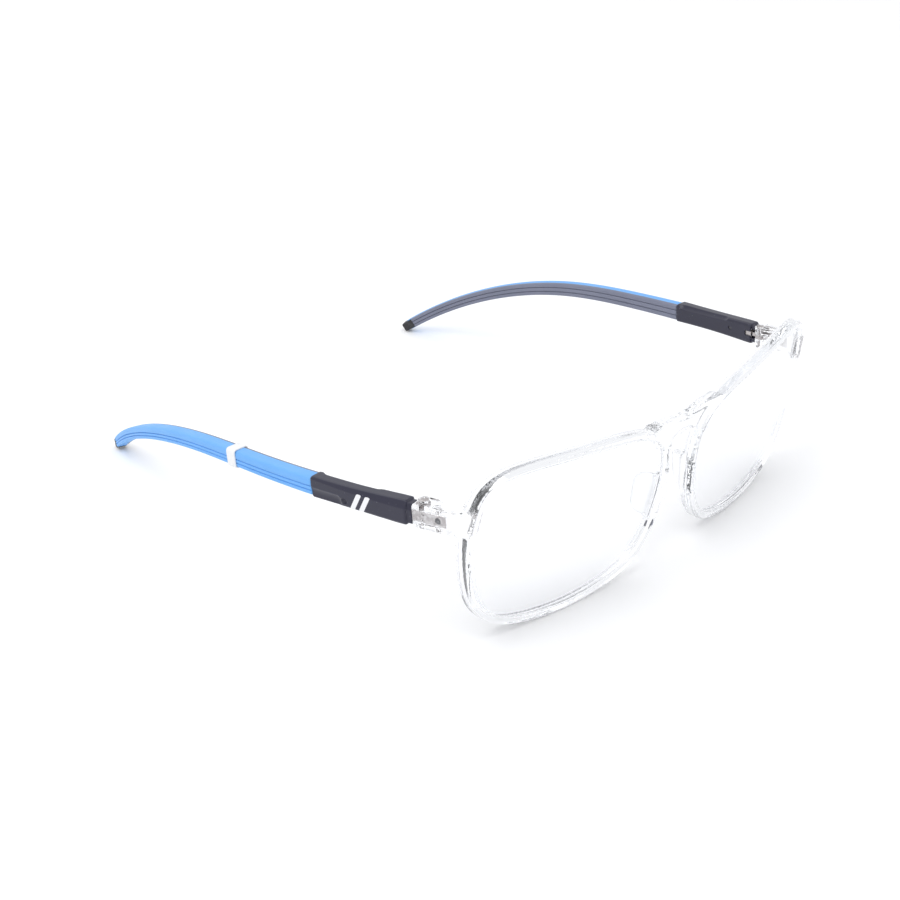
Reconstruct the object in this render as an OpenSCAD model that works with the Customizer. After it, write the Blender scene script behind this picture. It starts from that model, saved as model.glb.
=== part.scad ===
// Full-rim sports spectacles: clear moulded front, clear lenses, sprung hinges,
// and temples that carry a soft two-tone cover over a dark spine.
// The wearer's right side is drawn at -X and the left side is its mirror image.
// The front faces -Y, the temples run towards +Y, and +Z is up.

/* [Fit on the head] */
// Distance between the two temple roots
head_w = 132; // [124:1:140]
// Length of each temple along its curve, from root to tip
temple_len = 137; // [128:1:145]
// Angle at which each temple leaves the front, splayed outwards
splay = 9.4; // [6:0.1:12]
// Downward pitch of the straight part of each temple
pitch = 4.7; // [3.4:0.1:6]
// Distance along the temple at which the ear bend begins
bend_start = 49; // [44:1:54]

/* [Front] */
// Radius of the face wrap, measured at the lens surface
wrap_r = 227; // [200:1:260]
// Tilt of the lenses, bottom edge towards the face
front_tilt = 6; // [3:0.5:9]
// Distance from the wearer's mid plane to each lens centre
lens_x = 35.6; // [35:0.1:38]
// How far the lens centres hang below the temple roots
lens_drop = 10.7; // [9:0.1:12]
// How far the middle of the front stands ahead of the temple roots
front_reach = 16.5; // [15:0.5:19]
// Width of the rim seen from the front
rim_w = 2.3; // [2:0.1:2.8]
// Depth of the rim from front to back
rim_depth = 3.6; // [3.2:0.1:4.2]
// Thickness of each lens
lens_t = 1.8; // [1.4:0.1:2.2]

/* [Temples] */
// Height of a temple at its root
root_h = 5.0; // [4.6:0.1:5.4]
// Height of a temple at its tip
tip_h = 3.0; // [2.8:0.1:3.4]
// Thickness of a temple
temple_t = 3.85; // [3.6:0.05:4.2]
// Distance from the root at which the hard front part ends
joint_s = 32.5; // [30:0.5:36]
// Length of spine left bare on the inner side of the tip
bare_tip = 4; // [2:0.5:6]
// Length of the dark cap that closes the tip
tip_cap = 2.2; // [1:0.1:3]
// Distance from the temple's middle inwards to the seam between the two covers
seam_in = 1.0; // [0.9:0.05:1.1]
// Distance from the root to the middle of the marker band
band_s = 59.5; // [54:0.5:70]

/* [Hinge] */
// Distance from the temple root back to the hinge screw
axis_y = 2.4; // [2.2:0.1:2.6]
// Distance from the temple's middle inwards to the hinge screw
axis_x = 1.3; // [1.2:0.05:1.4]
// Outer radius of the knuckles
knuckle_r = 1.5; // [1.45:0.01:1.55]
// Height of the knuckle stack
stack_h = 5.8; // [5.4:0.1:6]
// Thickness of the steel tongue between the knuckles
tongue_t = 1.1; // [0.9:0.1:1.3]
// Radius of the hinge screw's shank
screw_r = 0.6; // [0.5:0.05:0.65]
// Radial clearance of the running fits
run_gap = 0.05; // [0.03:0.01:0.08]
// Gap at every seated joint
seat_gap = 0.02; // [0.01:0.01:0.03]
// Play of the soft covers, against each other and the spine
cover_gap = 0.06; // [0.04:0.01:0.1]

/* [Hidden] */
$fn = 48;
eps = 0.01;

CLEAR = [0.93, 0.95, 0.99, 0.45];
BLACK = [0.17, 0.17, 0.19];
BLUE = [0.33, 0.64, 0.95];
GREY = [0.45, 0.45, 0.52];
STEEL = [0.78, 0.78, 0.80];
DARK_STEEL = [0.22, 0.22, 0.24];
WHITE = [0.97, 0.97, 0.97];

// Where the drawing frame sits over the ground: rims and tips stand on z = 0.
stand_h = lens_drop + 19.5 * cos(front_tilt) + rim_w;
back_shift = 55.4;

// ---- the temple's path ------------------------------------------------
step = 1;
curl_1 = 14.3;
curl_2 = 7.0;
bend_ease = 25;
bend_rate = 0.417;

function heading(s) = -splay + curl_1 * (s / 100) + curl_2 * pow(s / 100, 2);
function eased(d) = d < 0 ? 0 : d < bend_ease ? d * d / (2 * bend_ease) : d - bend_ease / 2;
function droop(s) = pitch + bend_rate * eased(s - bend_start);
function along(s) = [
    cos(droop(s)) * sin(heading(s)), cos(droop(s)) * cos(heading(s)), -sin(droop(s))
];
function up(s) = [
    sin(droop(s)) * sin(heading(s)), sin(droop(s)) * cos(heading(s)), cos(droop(s))
];
function outward(s) = [-cos(heading(s)), sin(heading(s)), 0];

SPINE = [
    for (i = 0, p = [-head_w / 2, 0, 0]; i <= temple_len / step; p = p + step * along((i + 0.5) * step), i = i + 1) p
];
function spine_at(s) =
    let (i = max(0, min(floor(s / step), len(SPINE) - 2)), f = s / step - i)
    SPINE[i] * (1 - f) + SPINE[i + 1] * f;
function temple_h(s) = root_h + (tip_h - root_h) * s / temple_len;
function half_t(s) = temple_t / 2 - 0.25 * s / temple_len;

// Puts children at a station of the path: x inwards, y along the temple, z up.
module at_spine(s) {
    translate(spine_at(s)) rotate([-droop(s), 0, -heading(s)]) children();
}

// Skins a closed section, given counter-clockwise as [outward, up], along the path.
module sweep(stations, sections) {
    n = len(sections[0]);
    last = len(stations) - 1;
    points = [
        for (i = [0:last]) for (p = sections[i])
            spine_at(stations[i]) + p[0] * outward(stations[i]) + p[1] * up(stations[i])
    ];
    sides = [
        for (i = [0:last - 1]) for (j = [0:n - 1])
            let (k = (j + 1) % n, a = i * n, b = (i + 1) * n)
            each [[a + j, b + j, b + k], [a + j, b + k, a + k]]
    ];
    polyhedron(
        points = points,
        faces = concat([[for (j = [0:n - 1]) j]], sides, [[for (j = [n - 1:-1:0]) last * n + j]]),
        convexity = 6
    );
}
function stations(s0, s1, pitch_s) =
    let (n = max(1, ceil((s1 - s0) / pitch_s))) [for (i = [0:n]) s0 + (s1 - s0) * i / n];

// ---- placing the two sides --------------------------------------------
module placed() {
    translate([0, -back_shift, stand_h]) children();
}
module side(left) {
    placed() mirror([left ? 1 : 0, 0, 0]) children();
}

// ---- lens outline and the wrapped front -------------------------------
// Corner points of the lens opening about its centre: [temporal, up].
LENS_POINTS = [
    [27, -2], [27.7, 10.5], [22.5, 19.5], [2, 19.5], [-19.5, 16.5], [-27.5, 10.5],
    [-28, -2], [-23.5, -12.5], [-16, -17.5], [0, -19.5], [16, -17.5], [23.5, -12]
];
spline_steps = 7;
function spline(p0, p1, p2, p3, t) =
    0.5 * (2 * p1 + (p2 - p0) * t + (2 * p0 - 5 * p1 + 4 * p2 - p3) * t * t
        + (3 * p1 - p0 - 3 * p2 + p3) * t * t * t);
LENS_CURVE = let (n = len(LENS_POINTS)) [
    for (i = [0:n - 1]) for (k = [0:spline_steps - 1])
        spline(LENS_POINTS[(i + n - 1) % n], LENS_POINTS[i], LENS_POINTS[(i + 1) % n],
            LENS_POINTS[(i + 2) % n], k / spline_steps)
];
function grown(curve, d) = let (n = len(curve)) [
    for (i = [0:n - 1])
        let (t = curve[(i + 1) % n] - curve[(i + n - 1) % n])
        curve[i] + d * [t[1], -t[0]] / norm(t)
];

// The right lens opening grown by d, as a prism through the front.
module lens_prism(d) {
    translate([-lens_x_flat, 0, -lens_drop]) rotate([90, 0, 0])
        linear_extrude(height = 2 * front_reach + 30, center = true)
            mirror([1, 0]) polygon([for (p = grown(LENS_CURVE, d)) [wrap_x(p[0]), p[1] * cos(front_tilt)]]);
}
lens_x_flat = wrap_r * sin(lens_x / wrap_r * 180 / PI);
// Sideways place of a point that lies d mm along the wrap from the lens centre.
function wrap_x(d) = wrap_r * sin((lens_x + d) / wrap_r * 180 / PI) - lens_x_flat;

// Everything behind the lens surface moved forward by d.
module behind(d) {
    translate([0, -front_reach, -lens_drop]) rotate([front_tilt, 0, 0])
        translate([0, wrap_r, 0]) cylinder(r = wrap_r + d, h = 2 * stand_h + 20, center = true, $fn = 180);
}
module shell(depth) {
    difference() {
        behind(depth / 2);
        behind(-depth / 2);
    }
}

// A rectangle with round corners, as points: x from x0 to x1, y from y0 to y1.
function round_rect(x0, x1, y0, y1, r, n = 5) = [
    for (c = [[x1 - r, y1 - r, 0], [x0 + r, y1 - r, 90], [x0 + r, y0 + r, 180], [x1 - r, y0 + r, 270]])
        for (k = [0:n]) [c[0] + r * cos(c[2] + 90 * k / n), c[1] + r * sin(c[2] + 90 * k / n)]
];

// ---- hinge dimensions --------------------------------------------------
block_x_out = -2.1;
block_x_in = 1.9;
block_back = axis_y + 1.55;
block_len = 16;
neck_front = block_back + 0.1;
slot_z = tongue_t / 2 + 0.07;
slot_r = 2.3;
head_r = 1.0;
head_h = 0.5;
plate_t = 0.8;
plate_h = 2.8;
plate_len = 8.8;
plate_x = -1.2;
rivet_r = 0.75;
rivet_y = -2.8;

// Knuckle stack and the arms that carry it, drawn in the hinge frame.
module knuckles() {
    translate([axis_x, axis_y, 0]) cylinder(r = knuckle_r, h = stack_h, center = true);
    translate([axis_x - knuckle_r, axis_y - 6, -stack_h / 2])
        linear_extrude(height = stack_h)
            polygon([[0, 0], [knuckle_r, 0], [2 * knuckle_r, 3.2], [2 * knuckle_r, 6], [0, 6]]);
}
module hinge_cuts() {
    at_spine(0) {
        translate([axis_x, axis_y, -stack_h]) cylinder(r = screw_r + run_gap, h = 2 * stack_h);
        translate([axis_x, axis_y, stack_h / 2 - head_h - 0.05])
            cylinder(r = head_r + 0.06, h = head_h + 1);
        translate([axis_x, axis_y, 0]) cylinder(r = slot_r, h = 2 * slot_z, center = true);
        translate([axis_x, axis_y - slot_r, -slot_z]) cube([4, 6, 2 * slot_z]);
        // Room for the temple's neck outside the screw's plane.
        translate([-4, block_back, -4]) cube([4 + axis_x - 1.6, 4, 8]);
        plate_slot();
    }
}
module plate_slot() {
    g = seat_gap;
    translate([plate_x - g, block_back - plate_len - g, -plate_h / 2 - g])
        cube([plate_t + 2 * g, plate_len + 1, plate_h + 2 * g]);
}

module endpiece() {
    intersection() {
        behind(rim_depth / 2);
        at_spine(0) {
            difference() {
                translate([0, block_back, 0]) rotate([90, 0, 0])
                    linear_extrude(height = block_len)
                        polygon(round_rect(block_x_out, block_x_in, -stack_h / 2, stack_h / 2, 1.1));
                translate([axis_x, axis_y, -stack_h]) cube([4, 4, 2 * stack_h]);
            }
            knuckles();
        }
    }
}

// ---- front --------------------------------------------------------------
bridge_top = 7.5;
bridge_low = 3.0;
bridge_half = 13;
arch_r = 9.5;
pad_len = 10.5;
pad_w = 7;
pad_t = 1.5;
pad_z = -12.5;

module bridge() {
    intersection() {
        shell(rim_depth);
        rotate([90, 0, 0]) linear_extrude(height = 80, center = true)
            difference() {
                translate([-bridge_half, bridge_low - 3])
                    square([2 * bridge_half, bridge_top - bridge_low + 3]);
                translate([0, bridge_low - arch_r]) circle(r = arch_r);
                translate([0, bridge_top + 20 - 0.6]) circle(r = 20, $fn = 120);
            }
    }
}
module nose_pad() {
    translate([-7.6, -front_reach + 3.2, pad_z]) rotate([0, 10, 0]) rotate([0, 0, 24])
        rotate([90, 0, 90]) linear_extrude(height = pad_t, center = true)
            polygon(round_rect(-pad_w / 2, pad_w / 2, -pad_len / 2, pad_len / 2, 3.2));
}

module front_half() {
    intersection() {
        shell(rim_depth);
        lens_prism(rim_w);
    }
    endpiece();
}
module front_frame() {
    color(CLEAR) placed() difference() {
        union() {
            difference() {
                union() {
                    for (m = [0, 1]) mirror([m, 0, 0]) front_half();
                    bridge();
                }
                for (m = [0, 1]) mirror([m, 0, 0]) lens_prism(0);
            }
            for (m = [0, 1]) mirror([m, 0, 0]) nose_pad();
        }
        for (m = [0, 1]) mirror([m, 0, 0]) {
            intersection() {
                shell(lens_t + 2 * seat_gap);
                lens_prism(lens_grip + seat_gap);
            }
            hinge_cuts();
        }
    }
}
lens_grip = 0.6;
module lens(left) {
    color(CLEAR) side(left) intersection() {
        shell(lens_t);
        lens_prism(lens_grip);
    }
}

// ---- hinge hardware -------------------------------------------------------
module hinge_plate(left) {
    color(STEEL) side(left) at_spine(0) difference() {
        translate([plate_x, block_back - plate_len, -plate_h / 2])
            cube([plate_t, plate_len, plate_h]);
        translate([plate_x, rivet_y, 0]) rotate([0, 90, 0])
            cylinder(r = rivet_r + seat_gap, h = 4, center = true);
        for (z = [-0.7, 0.7]) translate([plate_x, 1.0, z]) rotate([0, 90, 0])
            cylinder(r = 0.3, h = 4, center = true);
        for (y = [2.0, 3.1]) translate([plate_x - 0.15, y, 0])
            cylinder(r = 0.35, h = 4, center = true);
    }
}
module plate_rivet(left) {
    color(DARK_STEEL) side(left) at_spine(0)
        translate([plate_x, rivet_y, 0]) rotate([0, 90, 0]) cylinder(r = rivet_r, h = plate_t);
}
module hinge_screw(left) {
    shank_top = stack_h / 2 - head_h;
    color(STEEL) side(left) at_spine(0) translate([axis_x, axis_y, 0]) difference() {
        union() {
            translate([0, 0, -stack_h / 2 + 0.1]) cylinder(r = screw_r, h = shank_top + stack_h / 2 - 0.1);
            translate([0, 0, shank_top]) cylinder(r = head_r, h = head_h);
        }
        translate([-2, -0.14, shank_top + 0.2]) cube([4, 0.28, 1]);
    }
}

case_x = 0.7;
case_w = 2.0;
case_h = 2.4;
case_y0 = 5.5;
case_y1 = 12.4;
case_wall = 0.8;
rod_r = 0.4;
spring_bore_r = 0.75;
spring_len = 4.05;
nut_len = 1.0;
nut_r = 0.7;
rod_end = case_y0 + case_wall + spring_len + nut_len + 0.3;
pin_r = 0.45;
pin_y = case_y1 + pin_r + 0.05;

module along_y(x, y, r, h) {
    translate([x, y, 0]) rotate([-90, 0, 0]) cylinder(r = r, h = h);
}
module hinge_slider(left) {
    color(STEEL) side(left) at_spine(0) difference() {
        union() {
            translate([axis_x, axis_y, 0]) cylinder(r = knuckle_r - 0.05, h = tongue_t, center = true);
            translate([case_x - 0.5, axis_y, -tongue_t / 2]) cube([1.3, case_y0 - axis_y - 0.3, tongue_t]);
            along_y(case_x, axis_y + 1.4, rod_r, rod_end - axis_y - 1.4);
        }
        translate([axis_x, axis_y, 0]) cylinder(r = screw_r + run_gap, h = 4, center = true);
    }
}
module spring_case(left) {
    color(STEEL) side(left) at_spine(0) difference() {
        translate([case_x - case_w / 2, case_y0, -case_h / 2])
            cube([case_w, case_y1 - case_y0, case_h]);
        along_y(case_x, case_y0 - 1, rod_r + run_gap, 4);
        along_y(case_x, case_y0 + case_wall, spring_bore_r, case_y1);
    }
}
module flex_spring(left) {
    wire_r = 0.13;
    coil_r = 0.58;
    turns = 6;
    per_turn = 12;
    sides = 6;
    n = turns * per_turn;
    rise = (spring_len - 2 * wire_r - 0.06) / n;
    points = [
        for (i = [0:n]) for (k = [0:sides - 1])
            let (a = 360 * i / per_turn, b = 360 * k / sides, r = coil_r + wire_r * cos(b))
            [case_x + r * cos(a), case_y0 + case_wall + wire_r + 0.03 + rise * i + wire_r * sin(b), r * sin(a)]
    ];
    skin = [
        for (i = [0:n - 1]) for (k = [0:sides - 1])
            let (q = (k + 1) % sides, a = i * sides, b = (i + 1) * sides)
            each [[a + k, b + q, b + k], [a + k, a + q, b + q]]
    ];
    color(STEEL) side(left) at_spine(0) polyhedron(
        points = points,
        faces = concat([[for (k = [sides - 1:-1:0]) k]], skin, [[for (k = [0:sides - 1]) n * sides + k]]),
        convexity = 10
    );
}
module spring_nut(left) {
    y0 = case_y0 + case_wall + spring_len;
    color(DARK_STEEL) side(left) at_spine(0) difference() {
        along_y(case_x, y0, nut_r, nut_len);
        along_y(case_x, y0 - 1, rod_r + eps, nut_len + 2);
    }
}
module lock_pin(left) {
    color(DARK_STEEL) side(left) at_spine(0)
        translate([-1.2, pin_y, 0]) rotate([0, 90, 0]) cylinder(r = pin_r, h = 3.3);
}

// ---- temple ----------------------------------------------------------------
// Height of the hard front part: full by the hinge, waisted in the middle.
function front_h(s) = temple_h(s) + 0.75 - 0.35 * sin(180 * min(1, max(0, (s - 8) / 26)));
// Section of the hard front part, inset by d all round.
function front_section(s, d) =
    let (b = front_h(s) / 2 - d, ao = half_t(s) + 0.15 - d, ai = half_t(s) + 0.05 - d,
        near = 1 - s / joint_s, bev_u = 0.35 + 1.5 * near, bev_o = 0.35 + 0.55 * near)
    [
        [-ai, -b + 0.5], [-ai + 0.15, -b + 0.15], [-ai + 0.5, -b], [ao - 0.5, -b], [ao - 0.15, -b + 0.15],
        [ao, -b + 0.5], [ao, b - bev_u], [ao - bev_o, b - 0.08], [ao - bev_o - 0.4, b],
        [-ai + 0.6, b], [-ai + 0.15, b - 0.2], [-ai, b - 0.6]
    ];
core_t = 0.6;
skin_h = 0.85;
core_grip = 6;
function core_section(s, g) =
    let (a = core_t - g, b = temple_h(s) / 2 - skin_h - g) [[-a, -b], [a, -b], [a, b], [-a, b]];

module temple_front(left) {
    plate_s = neck_front + 1.3;
    body = concat([plate_s], stations(plate_s + 0.4, joint_s - 1.4, 2), [joint_s - 0.6, joint_s]);
    insets = [for (s = body) s < plate_s + 0.2 ? 0.18 : s > joint_s - 0.3 ? 0.45 : s > joint_s - 1 ? 0.15 : 0];
    neck = [neck_front, plate_s + 0.5];
    grip = stations(joint_s - core_grip - seat_gap, joint_s + 1, 2);
    g = seat_gap;
    color(BLACK) side(left) difference() {
        union() {
            sweep(body, [for (i = [0:len(body) - 1]) front_section(body[i], insets[i])]);
            sweep(neck, [for (s = neck) front_section(s, 0.5)]);
        }
        sweep(grip, [for (s = grip) core_section(s, -g)]);
        at_spine(0) {
            // Pocket of the spring case, open towards the hinge.
            translate([case_x - case_w / 2 - g, neck_front - 1, -case_h / 2 - g])
                cube([case_w + 2 * g, case_y1 - neck_front + 1 + g, case_h + 2 * g]);
            // Window that the steel tongue swings through.
            translate([case_x - 0.6, neck_front - 1, -slot_z]) cube([4, case_y0 - neck_front + 2, 2 * slot_z]);
            translate([-1.2 - g, pin_y, 0]) rotate([0, 90, 0]) cylinder(r = pin_r + eps, h = 6);
        }
        // Flute along the lower half of the outer face, and a scallop on the inner top edge.
        at_spine(28) translate([-5.0, -5.2, -1.6]) rotate([-90, 0, 0]) cylinder(r = 3.3, h = 14);
        at_spine(24) translate([3.9, 0, 4.2]) rotate([-90, 0, 3]) cylinder(r = 3.2, h = 14, center = true);
    }
}
module temple_core(left) {
    spine = stations(joint_s - core_grip, temple_len, 3.2);
    bare = stations(temple_len - bare_tip, temple_len, 2);
    cap = [temple_len - tip_cap, temple_len];
    color(BLACK) side(left) {
        sweep(spine, [for (s = spine) core_section(s, 0)]);
        sweep(bare, [for (s = bare) tip_section(s, -seam_in - cover_gap / 2)]);
        sweep(bare, [for (s = bare) neck_section(s)]);
        sweep(cap, [for (s = cap) tip_section(s, half_t(s) * 0.92)]);
    }
}
// Section of the bare tip, from the inner face out to x = reach.
function tip_section(s, reach) =
    let (a = half_t(s) * 0.92, b = temple_h(s) / 2 * 0.92)
    [[-a, -b + 0.3], [-a + 0.3, -b], [reach, -b], [reach, b], [-a + 0.3, b], [-a, b - 0.3]];

// Section of the neck that ties the bare tip to the spine through the outer cover's slot.
function neck_section(s) =
    let (b = temple_h(s) / 2 - skin_h)
    [[-seam_in - 0.3, -b], [-core_t + 0.1, -b], [-core_t + 0.1, b], [-seam_in - 0.3, b]];

// Cover profiles as fractions of half thickness and half height, bottom to top.
OUTER_PROFILE = [
    [0.70, -1], [0.92, -0.94], [1, -0.80], [1, -0.54], [0.90, -0.46], [1, -0.38], [1, -0.10],
    [0.90, -0.02], [1, 0.06], [1, 0.45], [0.95, 0.72], [0.78, 0.92], [0.45, 1]
];
INNER_PROFILE = [
    [0.62, -1], [0.90, -0.93], [1, -0.75], [1, -0.42], [0.90, -0.34], [1, -0.26], [1, 0.24],
    [0.90, 0.32], [1, 0.40], [1, 0.72], [0.88, 0.93], [0.55, 1]
];
function scaled(profile, s) = [for (p = profile) [p[0] * half_t(s), p[1] * temple_h(s) / 2]];
function mirrored(points) = [for (i = [len(points) - 1:-1:0]) [-points[i][0], points[i][1]]];
// The outer cover is a channel round the spine, open on its inner side.
function outer_section(s) =
    let (e = -seam_in + cover_gap / 2, a = core_t + cover_gap, h = temple_h(s) / 2, b = h - skin_h + cover_gap)
    concat([[e, -h]], scaled(OUTER_PROFILE, s), [[e, h], [e, b], [a, b], [a, -b], [e, -b]]);
// The inner cover closes the channel, with a rib that reaches in to the spine.
function inner_section(s) =
    let (e = seam_in + cover_gap / 2, a = core_t + cover_gap, h = temple_h(s) / 2, b = h - skin_h - cover_gap)
    mirrored(concat([[e, -h]], scaled(INNER_PROFILE, s), [[e, h], [e, b], [a, b], [a, -b], [e, -b]]));
module outer_cover(left) {
    path = stations(joint_s + seat_gap, temple_len - tip_cap - cover_gap, 3);
    color(BLUE) side(left) sweep(path, [for (s = path) outer_section(s)]);
}
module inner_cover(left) {
    path = stations(joint_s + seat_gap, temple_len - bare_tip - cover_gap, 3);
    color(GREY) side(left) sweep(path, [for (s = path) inner_section(s)]);
}

band_w = 3;
band_t = 0.4;
function band_section(s, d) =
    let (a = half_t(s) + d, b = temple_h(s) / 2 + d) round_rect(-a, a, -b, b, 0.5 + d, 4);
module marker_band() {
    ring = stations(band_s - band_w / 2, band_s + band_w / 2, 1);
    bore = stations(band_s - band_w, band_s + band_w, 1);
    color(WHITE) side(false) difference() {
        sweep(ring, [for (s = ring) band_section(s, band_t)]);
        sweep(bore, [for (s = bore) band_section(s, 2 * seat_gap)]);
    }
}

front_frame();
lens(false);  // right_lens
lens(true);  // left_lens
hinge_plate(false);  // right_hinge_plate
hinge_plate(true);  // left_hinge_plate
plate_rivet(false);  // right_plate_rivet
plate_rivet(true);  // left_plate_rivet
hinge_screw(false);  // right_hinge_screw
hinge_screw(true);  // left_hinge_screw
hinge_slider(false);  // right_hinge_slider
hinge_slider(true);  // left_hinge_slider
spring_case(false);  // right_spring_case
spring_case(true);  // left_spring_case
flex_spring(false);  // right_flex_spring
flex_spring(true);  // left_flex_spring
spring_nut(false);  // right_spring_nut
spring_nut(true);  // left_spring_nut
lock_pin(false);  // right_lock_pin
lock_pin(true);  // left_lock_pin
temple_front(false);  // right_temple_front
temple_front(true);  // left_temple_front
temple_core(false);  // right_temple_core
temple_core(true);  // left_temple_core
outer_cover(false);  // right_outer_cover
outer_cover(true);  // left_outer_cover
inner_cover(false);  // right_inner_cover
inner_cover(true);  // left_inner_cover
marker_band();  // right_marker_band
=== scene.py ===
"""Clear sports spectacles with sprung hinges and two-tone ribbed temples.

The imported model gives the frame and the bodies. This script builds the visible pieces over it:
the clear moulded front and its lenses, the hinge hardware, and the temples with their soft covers.
Shapes are worked out in millimetres and written to meshes in metres.
"""

import logging
import math
from dataclasses import dataclass
from enum import Enum
from typing import Optional, Sequence, Union

import bmesh
import bpy
import numpy as np
from mathutils import Matrix, Vector


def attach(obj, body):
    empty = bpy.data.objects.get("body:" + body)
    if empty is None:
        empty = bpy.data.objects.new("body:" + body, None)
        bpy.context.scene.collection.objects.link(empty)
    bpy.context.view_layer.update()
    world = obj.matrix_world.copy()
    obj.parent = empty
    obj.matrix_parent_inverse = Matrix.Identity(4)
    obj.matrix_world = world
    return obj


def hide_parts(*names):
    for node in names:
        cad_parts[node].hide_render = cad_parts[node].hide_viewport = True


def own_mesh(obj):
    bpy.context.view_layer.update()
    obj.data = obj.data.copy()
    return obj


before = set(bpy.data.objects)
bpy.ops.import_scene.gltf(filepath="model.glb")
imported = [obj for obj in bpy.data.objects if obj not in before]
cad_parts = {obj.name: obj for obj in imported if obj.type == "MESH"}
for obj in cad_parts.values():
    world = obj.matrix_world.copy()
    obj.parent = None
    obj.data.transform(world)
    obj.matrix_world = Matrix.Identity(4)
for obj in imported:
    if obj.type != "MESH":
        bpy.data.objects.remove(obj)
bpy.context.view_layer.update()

log = logging.getLogger("spectacles")
MM = 0.001
SECTION_POINTS = 96
BEND_ANGLES = ("Splay", "Pitch", "Curl Linear", "Curl Square", "Bend Start", "Bend Ease", "Bend Rate")
Socket = Union[bpy.types.NodeSocket, float, int, tuple]


class Side(Enum):
    """A side of the spectacles, as the wearer names it."""

    RIGHT = "right"
    LEFT = "left"

    @property
    def mirror(self) -> float:
        """Factor on X that takes the right-hand shape to this side."""
        return 1.0 if self is Side.RIGHT else -1.0


class Facing(Enum):
    """The two faces of a temple."""

    OUTER = 1.0
    INNER = -1.0


# ---------------------------------------------------------------- node trees


class Wiring:
    """Adds nodes to one tree and joins them."""

    def __init__(self, tree: bpy.types.NodeTree) -> None:
        self.tree = tree

    def add(self, kind: str, *values: Optional[Socket], **settings: object) -> bpy.types.Node:
        """Adds a node.

        Args:
            kind: The node's type name.
            values: Its inputs in order. A socket is joined, a constant is set, None is left alone.
            settings: The node's own properties.
        Returns:
            The new node.
        """
        node = self.tree.nodes.new(kind)
        for key, value in settings.items():
            setattr(node, key, value)
        sockets = [s for s in node.inputs if s.enabled]
        for socket, value in zip(sockets, values):
            self.feed(socket, value)
        return node

    def named(self, kind: str, inputs: dict[str, Socket], **settings: object) -> bpy.types.Node:
        """Adds a node whose inputs are given by name."""
        node = self.add(kind, **settings)
        for name, value in inputs.items():
            self.feed(node.inputs[name], value)
        return node

    def feed(self, socket: bpy.types.NodeSocket, value: Optional[Socket]) -> None:
        """Joins or sets one input socket."""
        if value is None:
            return
        if isinstance(value, bpy.types.NodeSocket):
            self.tree.links.new(value, socket)
        else:
            socket.default_value = value

    def math(self, operation: str, *values: Socket) -> bpy.types.NodeSocket:
        """A Math node's result."""
        return self.add("ShaderNodeMath", *values, operation=operation).outputs[0]

    def vector(self, operation: str, *values: Socket) -> bpy.types.NodeSocket:
        """A Vector Math node's vector result."""
        node = self.add("ShaderNodeVectorMath", operation=operation)
        for socket, value in zip(node.inputs, values):
            self.feed(socket, value)
        return node.outputs[0]

    def scaled(self, vector: Socket, factor: Socket) -> bpy.types.NodeSocket:
        """A vector times a number."""
        return self.named("ShaderNodeVectorMath", {"Vector": vector, "Scale": factor}, operation="SCALE").outputs[0]

    def combine(self, x: Socket, y: Socket, z: Socket) -> bpy.types.NodeSocket:
        """A vector from three numbers."""
        return self.add("ShaderNodeCombineXYZ", x, y, z).outputs[0]

    def ramp(self, value: Socket, low: float, high: float) -> bpy.types.NodeSocket:
        """Zero at low, one at high, and smooth in between."""
        return self.named("ShaderNodeMapRange", {"Value": value, "From Min": low, "From Max": high},
                          interpolation_type="SMOOTHSTEP").outputs[0]

    def mix(self, mask: Socket, first: Socket, second: Socket) -> bpy.types.NodeSocket:
        """A colour mix."""
        node = self.add("ShaderNodeMix", data_type="RGBA")
        for name, value in (("Factor_Float", mask), ("A_Color", first), ("B_Color", second)):
            self.feed(next(s for s in node.inputs if s.identifier == name), value)
        return next(s for s in node.outputs if s.identifier == "Result_Color")

    def noise(self, place: Socket, scale: Socket, detail: float = 3.0, rough: float = 0.5) -> bpy.types.NodeSocket:
        """A noise pattern's value."""
        return self.named("ShaderNodeTexNoise", {
            "Vector": place, "Scale": scale, "Detail": detail, "Roughness": rough}).outputs[0]

    def cut(self, body: Socket, cutter: Socket) -> bpy.types.NodeSocket:
        """A mesh less another."""
        return self.named("GeometryNodeMeshBoolean", {"Mesh 1": body, "Mesh 2": cutter},
                          operation="DIFFERENCE", solver="EXACT").outputs[0]

    def choose(self, switch: Socket, false: Socket, true: Socket) -> bpy.types.NodeSocket:
        """One of two geometries."""
        return self.named("GeometryNodeSwitch", {"Switch": switch, "False": false, "True": true},
                          input_type="GEOMETRY").outputs[0]


def new_tree(name: str, kind: str, inputs: dict[str, tuple], outputs: dict[str, str]) -> tuple[Wiring, dict, dict]:
    """Starts a node group with named sockets.

    Args:
        name: The group's name.
        kind: Its tree type.
        inputs: Socket name to (socket type, default or None).
        outputs: Socket name to socket type.
    Returns:
        The wiring, the group's input sockets by name, and its output sockets by name.
    """
    tree = bpy.data.node_groups.new(name, kind)
    for label, (socket, default) in inputs.items():
        made = tree.interface.new_socket(label, in_out="INPUT", socket_type=socket)
        if default is not None:
            made.default_value = default
    for label, socket in outputs.items():
        tree.interface.new_socket(label, in_out="OUTPUT", socket_type=socket)
    wiring = Wiring(tree)
    into, out = wiring.add("NodeGroupInput"), wiring.add("NodeGroupOutput")
    return wiring, {k: into.outputs[k] for k in inputs}, {k: out.inputs[k] for k in outputs}


def finish_tree(wiring: Wiring, geometry: bpy.types.NodeSocket, given: dict, out: dict) -> bpy.types.NodeTree:
    """Ends a geometry tree in Realize Instances and Set Material."""
    real = wiring.add("GeometryNodeRealizeInstances", geometry).outputs[0]
    smooth = wiring.add("GeometryNodeSetShadeSmooth", real).outputs[0]
    dressed = wiring.named("GeometryNodeSetMaterial", {"Geometry": smooth, "Material": given["Material"]})
    wiring.feed(out["Geometry"], dressed.outputs[0])
    wiring.tree.is_modifier = True
    return wiring.tree


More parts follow.
